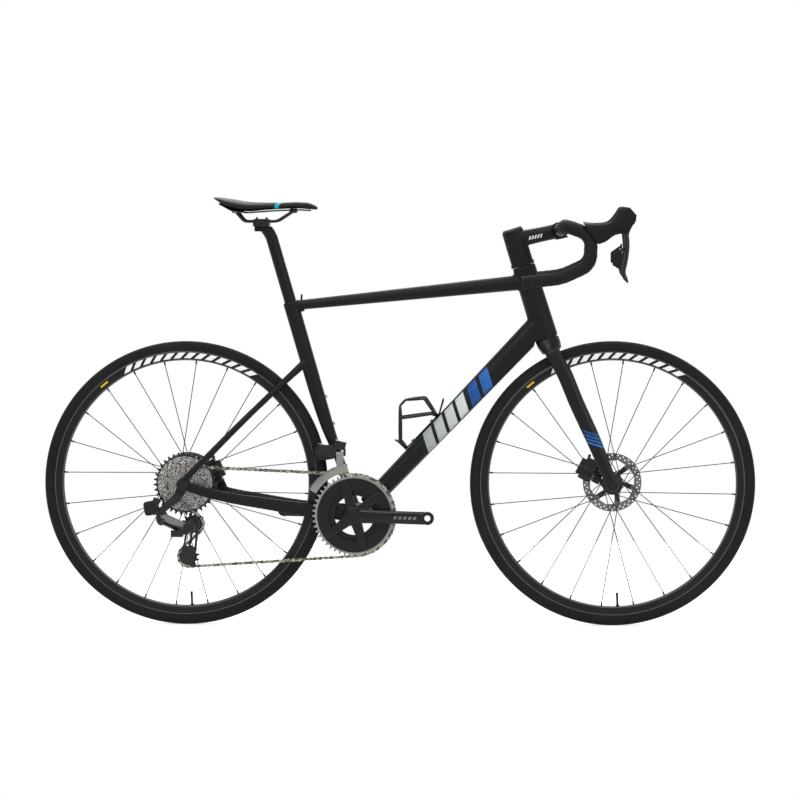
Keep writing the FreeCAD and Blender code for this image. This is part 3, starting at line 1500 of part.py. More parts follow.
def link_lugs(first):
    """Two lugs that hold the pins of both bars."""
    second = first + inner_link_shift
    lugs = [tilted_strap(first, second, 7.0, 8.4, 11.5), tilted_strap(first, second, 7.0, -11.5, -8.4)]
    for p in (first, second):
        lugs.append(Part.makeCylinder(pin_radius, 22.0, p - link_axis * 11, link_axis))
    return lugs


hanger_face = -rear_dropout_y - dropout_thickness - 6.0


def rd_body():
    """Fixed knuckle on the hanger, its bolt, the lugs and the battery."""
    lugs = link_lugs(link_pivot)
    neck = strap(hanger_bolt, link_pivot + V(-9, 0, 10), 10.0, 8.0, hanger_face - 11.0, hanger_face)
    back = box_at(link_pivot + V(-12, 0, 3), Z_AXIS, X_AXIS, 12, 3.5, -104.0, hanger_face - 0.0)
    low_bridge = box_at(link_pivot + V(-10.5, 0, -5), Z_AXIS, X_AXIS, 9, 3.5, -104.0, -80.0)
    body = lugs[0].fuse(lugs[1:] + [neck, back, low_bridge])
    bolt = y_rod(hanger_bolt, hanger_face - 11.0, hanger_face + 6.0, 5.0)
    body = body.cut(y_rod(hanger_bolt, hanger_face - 12.0, hanger_face + 1.0, 5.0))
    battery_line = V(0.33, 0, 0.944).normalize()
    battery_out = V(-battery_line.z, 0, battery_line.x)
    battery = box_at(rear_axle + V(-66.0, 0, -49.0), battery_line, battery_out, 19.5, 8.5, -104.0,
                     hanger_face + 1.0)
    return [body.cut(link_room(link_pivot, 1)), bolt, battery.cut(body)]


def link_room(first, sign):
    """Swept space of both bars beside a knuckle, kept clear for their swing."""
    room = None
    for start in (first, first + inner_link_shift):
        for degrees in range(-42, 25, 6):
            way = link_line * sign
            turned = FreeCAD.Rotation(link_axis, degrees).multVec(way)
            slab = tilted_strap(start, start + turned, 6.0, -8.3, 8.3)
            slab = slab.cut(Part.makeCylinder(pin_radius, 40, start - link_axis * 20, link_axis))
            room = slab if room is None else room.fuse(slab)
    return room


def rd_knuckle():
    """Moving knuckle that carries the cage, with the motor beside it."""
    foot = link_pivot + link_line
    lugs = link_lugs(foot)
    face = cage_outer - plate_thickness - 0.4
    drum = y_rod(guide_centre, face - 17.0, face, 18.0)
    bridge = strap(foot + V(10.0, 0, -1), guide_centre + V(-2, 0, -3), 8.0, 12.0, -102.0, face - 10.0)
    motor = box_at(foot + V(-15.0, 0, -19.5), X_AXIS, Z_AXIS, 14.0, 8.0, -92.0, -66.0)
    neck = box_at(foot + V(4.0, 0, -14.0), X_AXIS, Z_AXIS, 8.0, 8.0, -90.0, face - 10.0)
    body = lugs[0].fuse(lugs[1:] + [drum, bridge, motor, neck])
    bore = y_rod(guide_centre, cage_outer - 14.5, 0, 5.0 + running_clearance)
    body = body.cut([bore, link_room(foot, -1)])
    return max(body.Solids, key=lambda piece: piece.Volume)


# ---------------------------------------------------------------- front derailleur
fd_pivot = bb + V(-34.0, -41.0, 147.0)


def sector(inner, outer, start, end, y_low, y_high):
    """Part of a flat ring about the bottom bracket, between two angles."""
    disc = y_ring(bb, y_low, y_high, outer, inner)
    points = [(bb.x, bb.z)]
    for k in range(6):
        p = rim_point(bb, start + (end - start) * k / 5, outer * 1.4)
        points.append((p.x, p.z))
    return disc.common(plate_xz(points, y_low - 1, y_high + 1))


def fd_body():
    """Front derailleur's fixed body on its frame bracket, with the pivot pin and the battery."""
    c = fd_pivot
    tilt = math.radians(14)
    along = V(math.cos(tilt), 0, -math.sin(tilt))
    up = V(math.sin(tilt), 0, math.cos(tilt))
    case = box_at(c + V(0, 0, 20), along, up, 14.0, 10.0, -48.0, -26.0)
    ears = [box_at(c + V(x, 0, 3), X_AXIS, Z_AXIS, 2.5, 9.0, -45.5, -36.5) for x in (-11.5, 11.5)]
    pin = rod(c + V(-14, 0, 0), c + V(14, 0, 0), pin_radius)
    bracket = box_at(c + V(-6.0, 0, 20), along, up, 9.0, 8.0, -27.0, -16.0)
    body = joined([case] + ears + [pin, bracket]).cut(seat_tube())
    battery = box_at(c + V(-35.5, 0, 7), along, up, 20.5, 13.0, -47.0, -26.0)
    return [body, battery.cut(body)]


def fd_cage():
    """Cage plates, the bridge over the chain, and the arm that swings on the pin."""
    c = fd_pivot
    y = -chain_line
    low = 104.5
    plates = [sector(low, 120.0, 98.0, 150.0, y - 6.2, y - 5.0), sector(low, 124.0, 98.0, 150.0, y + 4.6,
                                                                        y + 5.8)]
    bridge = sector(113.0, 124.0, 99.0, 112.0, y - 6.2, y + 5.8)
    tail = sector(112.0, 120.0, 146.5, 150.0, y - 6.2, y + 5.8)
    knuckle = rod(c - X_AXIS * 8.6, c + X_AXIS * 8.6, 5.0)
    arm = box_at(c + V(0, 0, -16), X_AXIS, Z_AXIS, 8.0, 14.0, c.y - 3.0, c.y + 3.0)
    body = bridge.fuse(plates + [tail, knuckle, arm])
    return body.cut(rod(c - X_AXIS * 20, c + X_AXIS * 20, pin_radius + running_clearance))


# ---------------------------------------------------------------- output
def main():
    """Build every node and write it out."""
    os.makedirs("parts", exist_ok=True)
    builders = {
        "frame": frame, "seatpost_wedge": seatpost_wedge, "bottom_bracket_cups": bottom_bracket_cups,
        "headset_bearings": headset_bearings, "rear_thru_axle": rear_thru_axle,
        "derailleur_hanger": derailleur_hanger, "frame_bolts": frame_bolts, "bottle_cage": bottle_cage,
        "rear_caliper": rear_caliper, "front_caliper": front_caliper, "fork": fork,
        "front_thru_axle": front_thru_axle, "headset_spacers": headset_spacers, "stem": stem,
        "stem_faceplate": stem_faceplate, "stem_bolts": stem_fasteners,
        "handlebar": handlebar, "bar_tape": bar_tape, "bar_end_plugs": bar_end_plugs, "hoods": hoods,
        "lever_bodies": lever_bodies, "seatpost": seatpost, "saddle_clamp": saddle_clamp,
        "saddle_rails": saddle_rails, "saddle_shell": saddle_shell, "saddle_cover": saddle_cover,
        "front_hub": front_hub, "rear_hub": rear_hub, "chain": chain, "cassette": cassette,
        "crank_arm_right": crank_arm_right, "crank_arm_left": crank_arm_left, "chainrings": chainrings,
        "chainring_bolts": chainring_bolts, "crank_spindle": crank_spindle, "rd_body": rd_body,
        "rd_outer_link": rd_outer_link, "rd_inner_link": rd_inner_link, "rd_knuckle": rd_knuckle,
        "rd_cage": rd_cage, "guide_pulley": guide_pulley, "tension_pulley": tension_pulley,
        "fd_body": fd_body, "fd_cage": fd_cage}
    for name, build in builders.items():
        save(name, build())
    for side, axle, flanges, y in (("front", front_axle, front_flanges, front_rotor_y),
                                   ("rear", rear_axle, rear_flanges, rear_rotor_y)):
        save(side + "_tyre", tyre(axle))
        save(side + "_rim", rim_and_valve(axle))
        save(side + "_spokes", spokes(axle, flanges[0], flanges[1]))
        save(side + "_rotor", rotor(axle, y))
    pad_sets = (("front", front_caliper_centre, front_caliper_line, front_caliper_out),
                ("rear", rear_caliper_centre, rear_caliper_line, rear_caliper_out))
    for end, centre, along, across in pad_sets:
        for label, side in (("left", 1), ("right", -1)):
            save(end + "_brake_pad_" + label, brake_pad(centre, along, across, side))
    blade, paddle = lever_blade(), shift_paddle()
    for label, left in (("right", False), ("left", True)):
        save("brake_lever_" + label, mirrored(blade) if left else blade)
        save("shift_paddle_" + label, mirrored(paddle) if left else paddle)


main()
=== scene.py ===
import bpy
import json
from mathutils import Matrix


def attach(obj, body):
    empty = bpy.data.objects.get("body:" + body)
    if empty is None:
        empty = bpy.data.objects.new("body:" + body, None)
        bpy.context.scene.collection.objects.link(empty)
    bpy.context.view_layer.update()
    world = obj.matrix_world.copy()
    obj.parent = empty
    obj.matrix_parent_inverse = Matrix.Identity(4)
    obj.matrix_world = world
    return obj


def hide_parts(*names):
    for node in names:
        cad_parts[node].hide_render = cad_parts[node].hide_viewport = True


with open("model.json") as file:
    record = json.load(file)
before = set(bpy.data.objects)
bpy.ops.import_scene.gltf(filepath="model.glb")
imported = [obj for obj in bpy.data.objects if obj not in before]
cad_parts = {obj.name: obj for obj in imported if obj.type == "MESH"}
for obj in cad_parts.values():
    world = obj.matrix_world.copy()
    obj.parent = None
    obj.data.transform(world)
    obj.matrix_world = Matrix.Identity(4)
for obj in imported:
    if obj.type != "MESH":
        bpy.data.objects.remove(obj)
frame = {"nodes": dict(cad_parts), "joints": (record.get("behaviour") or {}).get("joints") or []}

"""Looks of a road bicycle: smooth one-piece frame and fork, wheels, cockpit, saddle and drive train.

Every length is in metres, in the row frame: +X forwards, +Y to the rider's left, +Z up, the drive side
on -Y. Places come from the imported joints, so that each new piece lies where its CAD node lies.
"""

import json
import logging
import math
from dataclasses import dataclass
from enum import Enum

import bmesh
import bpy
import numpy as np
from mathutils import Matrix, Vector

LOG = logging.getLogger("road_bicycle")
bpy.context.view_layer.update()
MM = 0.001
SHARP_DEGREES = 38.0
WELD = 2e-6
X_AXIS, Y_AXIS, Z_AXIS = np.eye(3)
JOINTS = {joint["name"]: joint for joint in frame["joints"]}


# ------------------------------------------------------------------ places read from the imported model
def joint_point(name: str) -> np.ndarray:
    """Place of a joint at rest."""
    return np.array(JOINTS[name]["pos_m"], float)


def joint_axis(name: str) -> np.ndarray:
    """Unit direction of a joint."""
    axis = np.array(JOINTS[name]["axis"], float)
    return axis / np.linalg.norm(axis)


REAR_AXLE = joint_point("rear_wheel_spin")
FRONT_AXLE = joint_point("front_wheel_spin")
BOTTOM_BRACKET = joint_point("crank_spin")
CROWN = joint_point("steering")
STEER_UP = joint_axis("steering")
STEER_FRONT = np.cross(Y_AXIS, STEER_UP)
SEAT_UP = joint_axis("seatpost_height")
SEAT_FRONT = np.cross(Y_AXIS, SEAT_UP)
SEAT_BASE = BOTTOM_BRACKET - np.array([7.3 * MM, 0.0, 0.0])
LEVER_PIVOT = joint_point("brake_lever_right")
BAR_CENTRE = np.array([LEVER_PIVOT[0] - 153 * MM, 0.0, LEVER_PIVOT[2] - 7 * MM])
CLAMP = np.array([-325.4, 0.0, 961.0]) * MM


def on_steer(height: float, forward: float = 0.0) -> np.ndarray:
    """Point on the steering axis, a height above the crown, moved forwards; both in millimetres."""
    return CROWN + STEER_UP * height * MM + STEER_FRONT * forward * MM


def on_seat(level: float, forward: float = 0.0) -> np.ndarray:
    """Point on the seat tube's axis at a level above the ground, moved forwards; both in millimetres."""
    along = (level * MM - SEAT_BASE[2]) / SEAT_UP[2]
    return SEAT_BASE + SEAT_UP * along + SEAT_FRONT * forward * MM


# ------------------------------------------------------------------ surfaces
@dataclass
class Surface:
    """A mesh as arrays: vertex places and faces by vertex number."""

    points: np.ndarray
    faces: list[np.ndarray]

    def mirrored(self) -> "Surface":
        """The same surface on the other side of the middle plane, with its faces turned to stay outward."""
        flipped = self.points * np.array([1.0, -1.0, 1.0])
        return Surface(flipped, [block[:, ::-1] for block in self.faces])

    def joined(self, other: "Surface") -> "Surface":
        """Both surfaces as one."""
        shift = len(self.points)
        return Surface(np.vstack([self.points, other.points]),
                       self.faces + [block + shift for block in other.faces])

    def volume(self) -> float:
        """Signed volume: the sum over triangle fans of one sixth of the triple product."""
        total = 0.0
        for block in self.faces:
            first = self.points[block[:, 0]]
            for k in range(1, block.shape[1] - 1):
                second, third = self.points[block[:, k]], self.points[block[:, k + 1]]
                total += float(np.einsum("ij,ij->", first, np.cross(second, third))) / 6
        return total

    def outward(self) -> "Surface":
        """The same closed surface with its faces pointing outwards."""
        if self.volume() >= 0:
            return self
        return Surface(self.points, [block[:, ::-1] for block in self.faces])


def grid_surface(grid: np.ndarray, ring: bool = False) -> Surface:
    """Closed skin over a grid of stations by points round each station.

    Point (i, j) joins (i + 1, j) and (i, j + 1), with j counted round. The ends are closed by a fan from
    the middle of the end station, or the last station joins the first.

    Args:
        grid: places, shaped stations by points by 3.
        ring: whether the last station joins the first.

    Returns:
        The closed surface with outward faces.
    """
    stations, around = grid.shape[:2]
    numbers = np.arange(stations * around).reshape(stations, around)
    low = numbers if ring else numbers[:-1]
    high = np.roll(numbers, -1, axis=0) if ring else numbers[1:]
    quads = np.stack([low, np.roll(low, -1, axis=1), np.roll(high, -1, axis=1), high], axis=-1).reshape(-1, 4)
    points, faces = grid.reshape(-1, 3), [quads]
    if not ring:
        ends = np.stack([grid[0].mean(axis=0), grid[-1].mean(axis=0)])
        points = np.vstack([points, ends])
        first, last = numbers[0], numbers[-1]
        base = np.full(around, stations * around)
        faces.append(np.stack([np.roll(first, -1), first, base], axis=-1))
        faces.append(np.stack([last, np.roll(last, -1), base + 1], axis=-1))
    return Surface(points, faces).outward()


def eased(stations: np.ndarray, count: int) -> np.ndarray:
    """Smooth rows through a table of rows: cubic Hermite pieces with central-difference slopes.

    Args:
        stations: rows of values; the distance between rows sets the spacing.
        count: number of rows wanted.

    Returns:
        A table of count rows.
    """
    steps = np.linalg.norm(np.diff(stations[:, :3], axis=0), axis=1)
    places = np.concatenate([[0.0], np.cumsum(steps)])
    slopes = np.gradient(stations, places, axis=0)
    wanted = np.linspace(0.0, places[-1], count)
    cell = np.clip(np.searchsorted(places, wanted, side="right") - 1, 0, len(places) - 2)
    length = (places[cell + 1] - places[cell])[:, None]
    t = (wanted - places[cell])[:, None] / length
    start, end = stations[cell], stations[cell + 1]
    rise, fall = slopes[cell] * length, slopes[cell + 1] * length
    return ((2 * t**3 - 3 * t**2 + 1) * start + (t**3 - 2 * t**2 + t) * rise
            + (3 * t**2 - 2 * t**3) * end + (t**3 - t**2) * fall)


def rounded_ring(count: int, power: float) -> tuple[np.ndarray, np.ndarray]:
    """Unit superellipse: the signed 2/power roots of cosine and sine at even angles.

    Args:
        count: number of points.
        power: 2 is an ellipse, more is squarer.

    Returns:
        The two coordinates, each an array of count values.
    """
    angle = np.linspace(0.0, 2 * math.pi, count, endpoint=False)
    c, s = np.cos(angle), np.sin(angle)
    return np.sign(c) * np.abs(c) ** (2 / power), np.sign(s) * np.abs(s) ** (2 / power)


def skin(centres: np.ndarray, half_u: np.ndarray, half_v: np.ndarray, u: np.ndarray, v: np.ndarray,
         power: float = 2.4, around: int = 48) -> Surface:
    """Closed skin through superellipse stations: centre + u * half_u * cos + v * half_v * sin.

    Args:
        centres: station middles, n by 3.
        half_u: half sizes along u, n values.
        half_v: half sizes along v, n values.
        u: unit direction, one for all or one per station.
        v: unit direction, one for all or one per station.
        power: squareness of the section.
        around: points round each station.

    Returns:
        The closed surface.
    """
    c, s = rounded_ring(around, power)
    u_rows, v_rows = np.broadcast_to(u, centres.shape), np.broadcast_to(v, centres.shape)
    grid = (centres[:, None, :] + u_rows[:, None, :] * (half_u[:, None] * c)[..., None]
            + v_rows[:, None, :] * (half_v[:, None] * s)[..., None])
    return grid_surface(grid)


def turned(profile: np.ndarray, centre: np.ndarray, axis: np.ndarray = Y_AXIS, steps: int = 96) -> Surface:
    """Solid of revolution: each closed-profile point (radius, along) goes round the axis.

    Args:
        profile: rows of radius and distance along the axis, a closed loop.
        centre: point on the axis at distance 0.
        axis: unit direction of the axis.
        steps: points round the axis.

    Returns:
        The closed ring surface.
    """
    side = np.cross(axis, Z_AXIS if abs(axis[2]) < 0.9 else Y_AXIS)
    side = side / np.linalg.norm(side)
    other = np.cross(axis, side)
    angle = np.linspace(0.0, 2 * math.pi, steps, endpoint=False)
    spoke = np.cos(angle)[:, None] * side + np.sin(angle)[:, None] * other
    grid = centre + spoke[:, None, :] * profile[None, :, 0, None] + axis * profile[None, :, 1, None]
    return grid_surface(grid, ring=True)


def rounded_path(points: np.ndarray, radii: list[float], step: float) -> np.ndarray:
    """Even samples along straight runs joined by tangent arcs.

    Args:
        points: corner places, n by 3.
        radii: arc radius at each inner corner.
        step: distance between samples.

    Returns:
        The samples, m by 3.
    """
    pieces = [points[0][None]]
    for before, corner, after, radius in zip(points, points[1:], points[2:], radii):
        into, out = corner - before, after - corner
        into, out = into / np.linalg.norm(into), out / np.linalg.norm(out)
        turn = math.acos(float(np.clip(into @ out, -1, 1)))
        start = corner - into * radius * math.tan(turn / 2)
        inward = out - into * float(into @ out)
        inward = inward / np.linalg.norm(inward)
        angle = np.linspace(0.0, turn, 24)[:, None]
        pieces += [start[None], start + into * radius * np.sin(angle) + inward * radius * (1 - np.cos(angle))]
    pieces.append(points[-1][None])
    line = np.vstack(pieces)
    lengths = np.concatenate([[0.0], np.cumsum(np.linalg.norm(np.diff(line, axis=0), axis=1))])
    keep = np.concatenate([[True], np.diff(lengths) > 1e-9])
    line, lengths = line[keep], lengths[keep]
    wanted = np.linspace(0.0, lengths[-1], int(lengths[-1] / step) + 2)
    return np.stack([np.interp(wanted, lengths, line[:, k]) for k in range(3)], axis=1)


def carried_frames(line: np.ndarray, start: np.ndarray) -> tuple[np.ndarray, np.ndarray]:
    """Two directions across a line, carried along it without twist.

    Args:
        line: samples, n by 3.
        start: direction across the line at its first sample.

    Returns:
        The two unit directions at every sample.
    """
    tangent = np.gradient(line, axis=0)
    tangent = tangent / np.linalg.norm(tangent, axis=1)[:, None]
    across = np.zeros_like(line)
    current = start
    for k, way in enumerate(tangent):
        current = current - way * float(current @ way)
        current = current / np.linalg.norm(current)
        across[k] = current
    return across, np.cross(tangent, across)


def tube(line: np.ndarray, radius: np.ndarray | float, around: int = 32) -> Surface:
    """Round tube along a line: centre + radius * (cos * across + sin * other).

    Args:
        line: samples of the centre line.
        radius: one radius, or one per sample.
        around: points round the tube.

    Returns:
        The closed surface.
    """
    way = line[1] - line[0]
    start = np.cross(way, Y_AXIS if abs(way[1]) < 0.9 * np.linalg.norm(way) else Z_AXIS)
    across, other = carried_frames(line, start)
    sizes = np.broadcast_to(np.asarray(radius, float), len(line))
    return skin(line, sizes, sizes, across, other, power=2.0, around=around)


def rod(start: np.ndarray, end: np.ndarray, radius: float, around: int = 48) -> Surface:
    """Round bar between two points; radius in metres."""
    return tube(np.stack([start, end]), radius, around)


def cross_rod(middle: np.ndarray, half: float, radius: float, around: int = 48) -> Surface:
    """Round bar along Y with its middle at a point; sizes in metres."""
    return rod(middle - Y_AXIS * half, middle + Y_AXIS * half, radius, around)


def prism(outline: np.ndarray, low: float, high: float) -> Surface:
    """Straight prism across the object: an outline in X and Z, from low to high along Y.

    Args:
        outline: rows of X and Z, in order round the shape.
        low: first Y.
        high: last Y.

    Returns:
        The closed surface.
    """
    count = len(outline)
    place = [np.stack([outline[:, 0], np.full(count, y), outline[:, 1]], axis=1) for y in (low, high)]
    first = np.arange(count)
    after = np.roll(first, -1)
    sides = np.stack([first, after, after + count, first + count], axis=1)
    return Surface(np.vstack(place), [sides, first[::-1][None], (first + count)[None]]).outward()


def box_on(centre: np.ndarray, axes: np.ndarray, halves: np.ndarray) -> Surface:
    """Box with its half sizes along three unit directions."""
    signs = np.array([[x, y, z] for x in (-1, 1) for y in (-1, 1) for z in (-1, 1)], float)
    quads = np.array([[0, 1, 3, 2], [4, 6, 7, 5], [0, 4, 5, 1], [2, 3, 7, 6], [0, 2, 6, 4], [1, 5, 7, 3]])
    return Surface(centre + (signs * halves) @ axes, [quads]).outward()


# ------------------------------------------------------------------ meshes and objects
def mesh_from(name: str, surface: Surface) -> bpy.types.Mesh:
    """Mesh datablock from the arrays of a surface.

    Args:
        name: name of the mesh.
        surface: places and faces.

    Returns:
        The mesh, smooth shaded, sharp where faces meet at more than SHARP_DEGREES.
    """
    counts = np.concatenate([np.full(len(block), block.shape[1]) for block in surface.faces])
    corners = np.concatenate([block.ravel() for block in surface.faces]).astype(np.int32)
    mesh = bpy.data.meshes.new(name)
    mesh.vertices.add(len(surface.points))
    mesh.vertices.foreach_set("co", surface.points.astype(np.float32).ravel())
    mesh.loops.add(len(corners))
    mesh.loops.foreach_set("vertex_index", corners)
    mesh.polygons.add(len(counts))
    mesh.polygons.foreach_set("loop_start", (np.cumsum(counts) - counts).astype(np.int32))
    mesh.update(calc_edges=True)
    mesh.validate()
    mesh.shade_smooth()
    mesh.set_sharp_from_angle(angle=math.radians(SHARP_DEGREES))
    return mesh


def add_object(name: str, data: bpy.types.ID) -> bpy.types.Object:
    """New object at the origin, linked to the scene."""
    obj = bpy.data.objects.new(name, data)
    bpy.context.scene.collection.objects.link(obj)
    return obj


def solid(name: str, surface: Surface) -> bpy.types.Object:
    """New object with the mesh of a surface."""
    return add_object(name, mesh_from(name, surface))


def settle(obj: bpy.types.Object, sharp: float = SHARP_DEGREES) -> bpy.types.Object:
    """Put the result of an object's modifiers into its mesh and shade it.

    Args:
        obj: object with live modifiers.
        sharp: angle in degrees above which an edge stays sharp.

    Returns:
        The same object without modifiers.
    """
    shape = obj.evaluated_get(bpy.context.evaluated_depsgraph_get())
    mesh = bpy.data.meshes.new_from_object(shape)
    obj.modifiers.clear()
    obj.data = mesh
    mesh.name = obj.name
    mesh.shade_smooth()
    mesh.set_sharp_from_angle(angle=math.radians(sharp))
    return obj


def melt(obj: bpy.types.Object, voxel: float, rounds: int) -> None:
    """Turn overlapping closed shapes into one skin and soften its corners.

    Args:
        obj: object to change.
        voxel: cell size in metres.
        rounds: smoothing passes; more passes give wider fillets.
    """
    remesh = obj.modifiers.new("one_skin", "REMESH")
    remesh.mode = "VOXEL"
    remesh.voxel_size = voxel
    smooth = obj.modifiers.new("soften", "SMOOTH")
    smooth.factor = 0.5
    smooth.iterations = rounds
    settle(obj)


def carve(obj: bpy.types.Object, cutters: list[Surface]) -> None:
    """Cut closed shapes out of an object.

    Args:
        obj: object with one closed skin.
        cutters: shapes to take away.
    """
    tools = []
    for k, cutter in enumerate(cutters):
        tool = solid(f"cutter_{k}", cutter)
        cut = obj.modifiers.new(f"cut_{k}", "BOOLEAN")
        cut.operation, cut.solver, cut.object = "DIFFERENCE", "MANIFOLD", tool
        tools.append(tool)
    settle(obj, 30.0)
    for tool in tools:
        bpy.data.objects.remove(tool)


def place(obj: bpy.types.Object, body: str, slot: str, finish: "Finish", *nodes: str) -> bpy.types.Object:
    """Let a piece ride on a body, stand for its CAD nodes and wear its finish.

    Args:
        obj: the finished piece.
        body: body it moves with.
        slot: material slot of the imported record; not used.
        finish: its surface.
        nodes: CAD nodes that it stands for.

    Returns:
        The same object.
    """
    obj.data.materials.clear()
    obj.data.materials.append(finish.material())
    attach(obj, body)
    if nodes:
        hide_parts(*nodes)
    LOG.info("%s on %s, %d faces", obj.name, body, len(obj.data.polygons))
    return obj


def softened(node: str, body: str, slot: str, finish: "Finish", voxel: float,
             rounds: int) -> bpy.types.Object:
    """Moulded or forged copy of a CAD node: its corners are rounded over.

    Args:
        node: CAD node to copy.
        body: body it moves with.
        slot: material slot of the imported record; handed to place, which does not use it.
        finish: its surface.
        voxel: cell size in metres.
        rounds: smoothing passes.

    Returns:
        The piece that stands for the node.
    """
    mesh = frame["nodes"][node].data.copy()
    work = bmesh.new()
    work.from_mesh(mesh)
    bmesh.ops.remove_doubles(work, verts=work.verts, dist=WELD)
    work.to_mesh(mesh)
    work.free()
    obj = add_object(f"{node}_shape", mesh)
    melt(obj, voxel, rounds)
    return place(obj, body, slot, finish, node)


def dress(finish: "Finish", *nodes: str) -> None:
    """Give CAD nodes a finish in every material slot.

    Args:
        finish: their surface.
        nodes: names of the nodes.
    """
    material = finish.material()
    for node in nodes:
        data = frame["nodes"][node].data
        for k in range(max(1, len(data.materials))):
            if k < len(data.materials):
                data.materials[k] = material
            else:
                data.materials.append(material)
        LOG.info("%s dressed", node)


# ------------------------------------------------------------------ finishes
Socket = bpy.types.NodeSocket
Value = bpy.types.NodeSocket | float
Colour = tuple[float, float, float, float]


def tint(red: int, green: int, blue: int) -> Colour:
    """Linear colour from display values of 0 to 255: ((c + 0.055) / 1.055) to the power 2.4."""
    parts = [c / 255 for c in (red, green, blue)]
    return tuple([c / 12.92 if c < 0.04 else ((c + 0.055) / 1.055) ** 2.4 for c in parts] + [1.0])


DUST_COLOUR = tint(150, 146, 138)
SEAM_COLOUR = (0.004, 0.004, 0.004, 1.0)
FLECK_COLOUR = (0.16, 0.16, 0.16, 1.0)


class Bench:
    """Adds nodes to one node tree and joins them."""

    def __init__(self, tree: bpy.types.NodeTree) -> None:
        """Keep the tree."""
        self.tree = tree

    def add(self, kind: str, values: dict | None = None, **settings) -> bpy.types.Node:
        """New node.

        Args:
            kind: node type without its ShaderNode prefix.
            values: input name or number to a socket or a plain value.
            settings: node properties.

        Returns:
            The node.
        """
        node = self.tree.nodes.new("ShaderNode" + kind)
        for key, value in settings.items():
            setattr(node, key, value)
        for key, value in (values or {}).items():
            self.join(value, node.inputs[key])
        return node

    def join(self, value: Value | tuple, socket: Socket) -> None:
        """Link a socket, or set a plain value."""
        if isinstance(value, bpy.types.NodeSocket):
            self.tree.links.new(value, socket)
        else:
            socket.default_value = value

    def math(self, operation: str, *values: Value) -> Socket:
        """Result of a math node."""
        return self.add("Math", dict(enumerate(values)), operation=operation).outputs[0]

    def vector(self, operation: str, *values: Socket | tuple) -> bpy.types.Node:
        """Vector math node."""
        return self.add("VectorMath", dict(enumerate(values)), operation=operation)

    def along(self, vector: Socket, direction: np.ndarray) -> Socket:
        """Dot product of a vector with a fixed direction."""
        return self.vector("DOT_PRODUCT", vector, tuple(float(c) for c in direction)).outputs["Value"]

    def fade(self, value: Value, low: float, high: float, start: float = 0.0, end: float = 1.0) -> Socket:
        """Smooth step of a value between two limits."""
        return self.add("MapRange", {0: value, 1: low, 2: high, 3: start, 4: end},
                        interpolation_type="SMOOTHSTEP").outputs[0]

    def within(self, value: Value, low: float, high: float, soft: float) -> Socket:
        """Mask that is 1 between two limits, with soft edges."""
        return self.math("MULTIPLY", self.fade(value, low - soft, low + soft),
                         self.fade(value, high + soft, high - soft))

    def both(self, *masks: Socket) -> Socket:
        """Product of masks."""
        product = masks[0]
        for mask in masks[1:]:
            product = self.math("MULTIPLY", product, mask)
        return product

    def mix(self, mask: Value, low: Socket | Colour, high: Socket | Colour) -> Socket:
        """Colour blend from low to high by a mask."""
        node = self.tree.nodes.new("ShaderNodeMix")
        node.data_type = "RGBA"
        for socket, value in zip((node.inputs[0], node.inputs[6], node.inputs[7]), (mask, low, high)):
            self.join(value, socket)
        return node.outputs[2]

    def blend(self, mask: Value, low: Value, high: Value) -> Socket:
        """Number blend from low to high by a mask."""
        return self.add("Mix", {0: mask, 2: low, 3: high}, data_type="FLOAT").outputs[0]

    def noise(self, coords: Socket, scale: Value, detail: float = 3.0) -> Socket:
        """Fractal noise value at a point."""
        return self.add("TexNoise", {"Vector": coords, "Scale": scale, "Detail": detail}).outputs[0]

    def cells(self, coords: Socket, scale: float) -> Socket:
        """Distance to the nearest cell point."""
        return self.add("TexVoronoi", {"Vector": coords, "Scale": scale}).outputs["Distance"]


class Effect(Enum):
    """Shared node groups."""

    EDGE_WEAR = "edge_wear"
    DUST = "dust"
    POLAR = "polar_about_axle"
    TONE = "tone_variation"


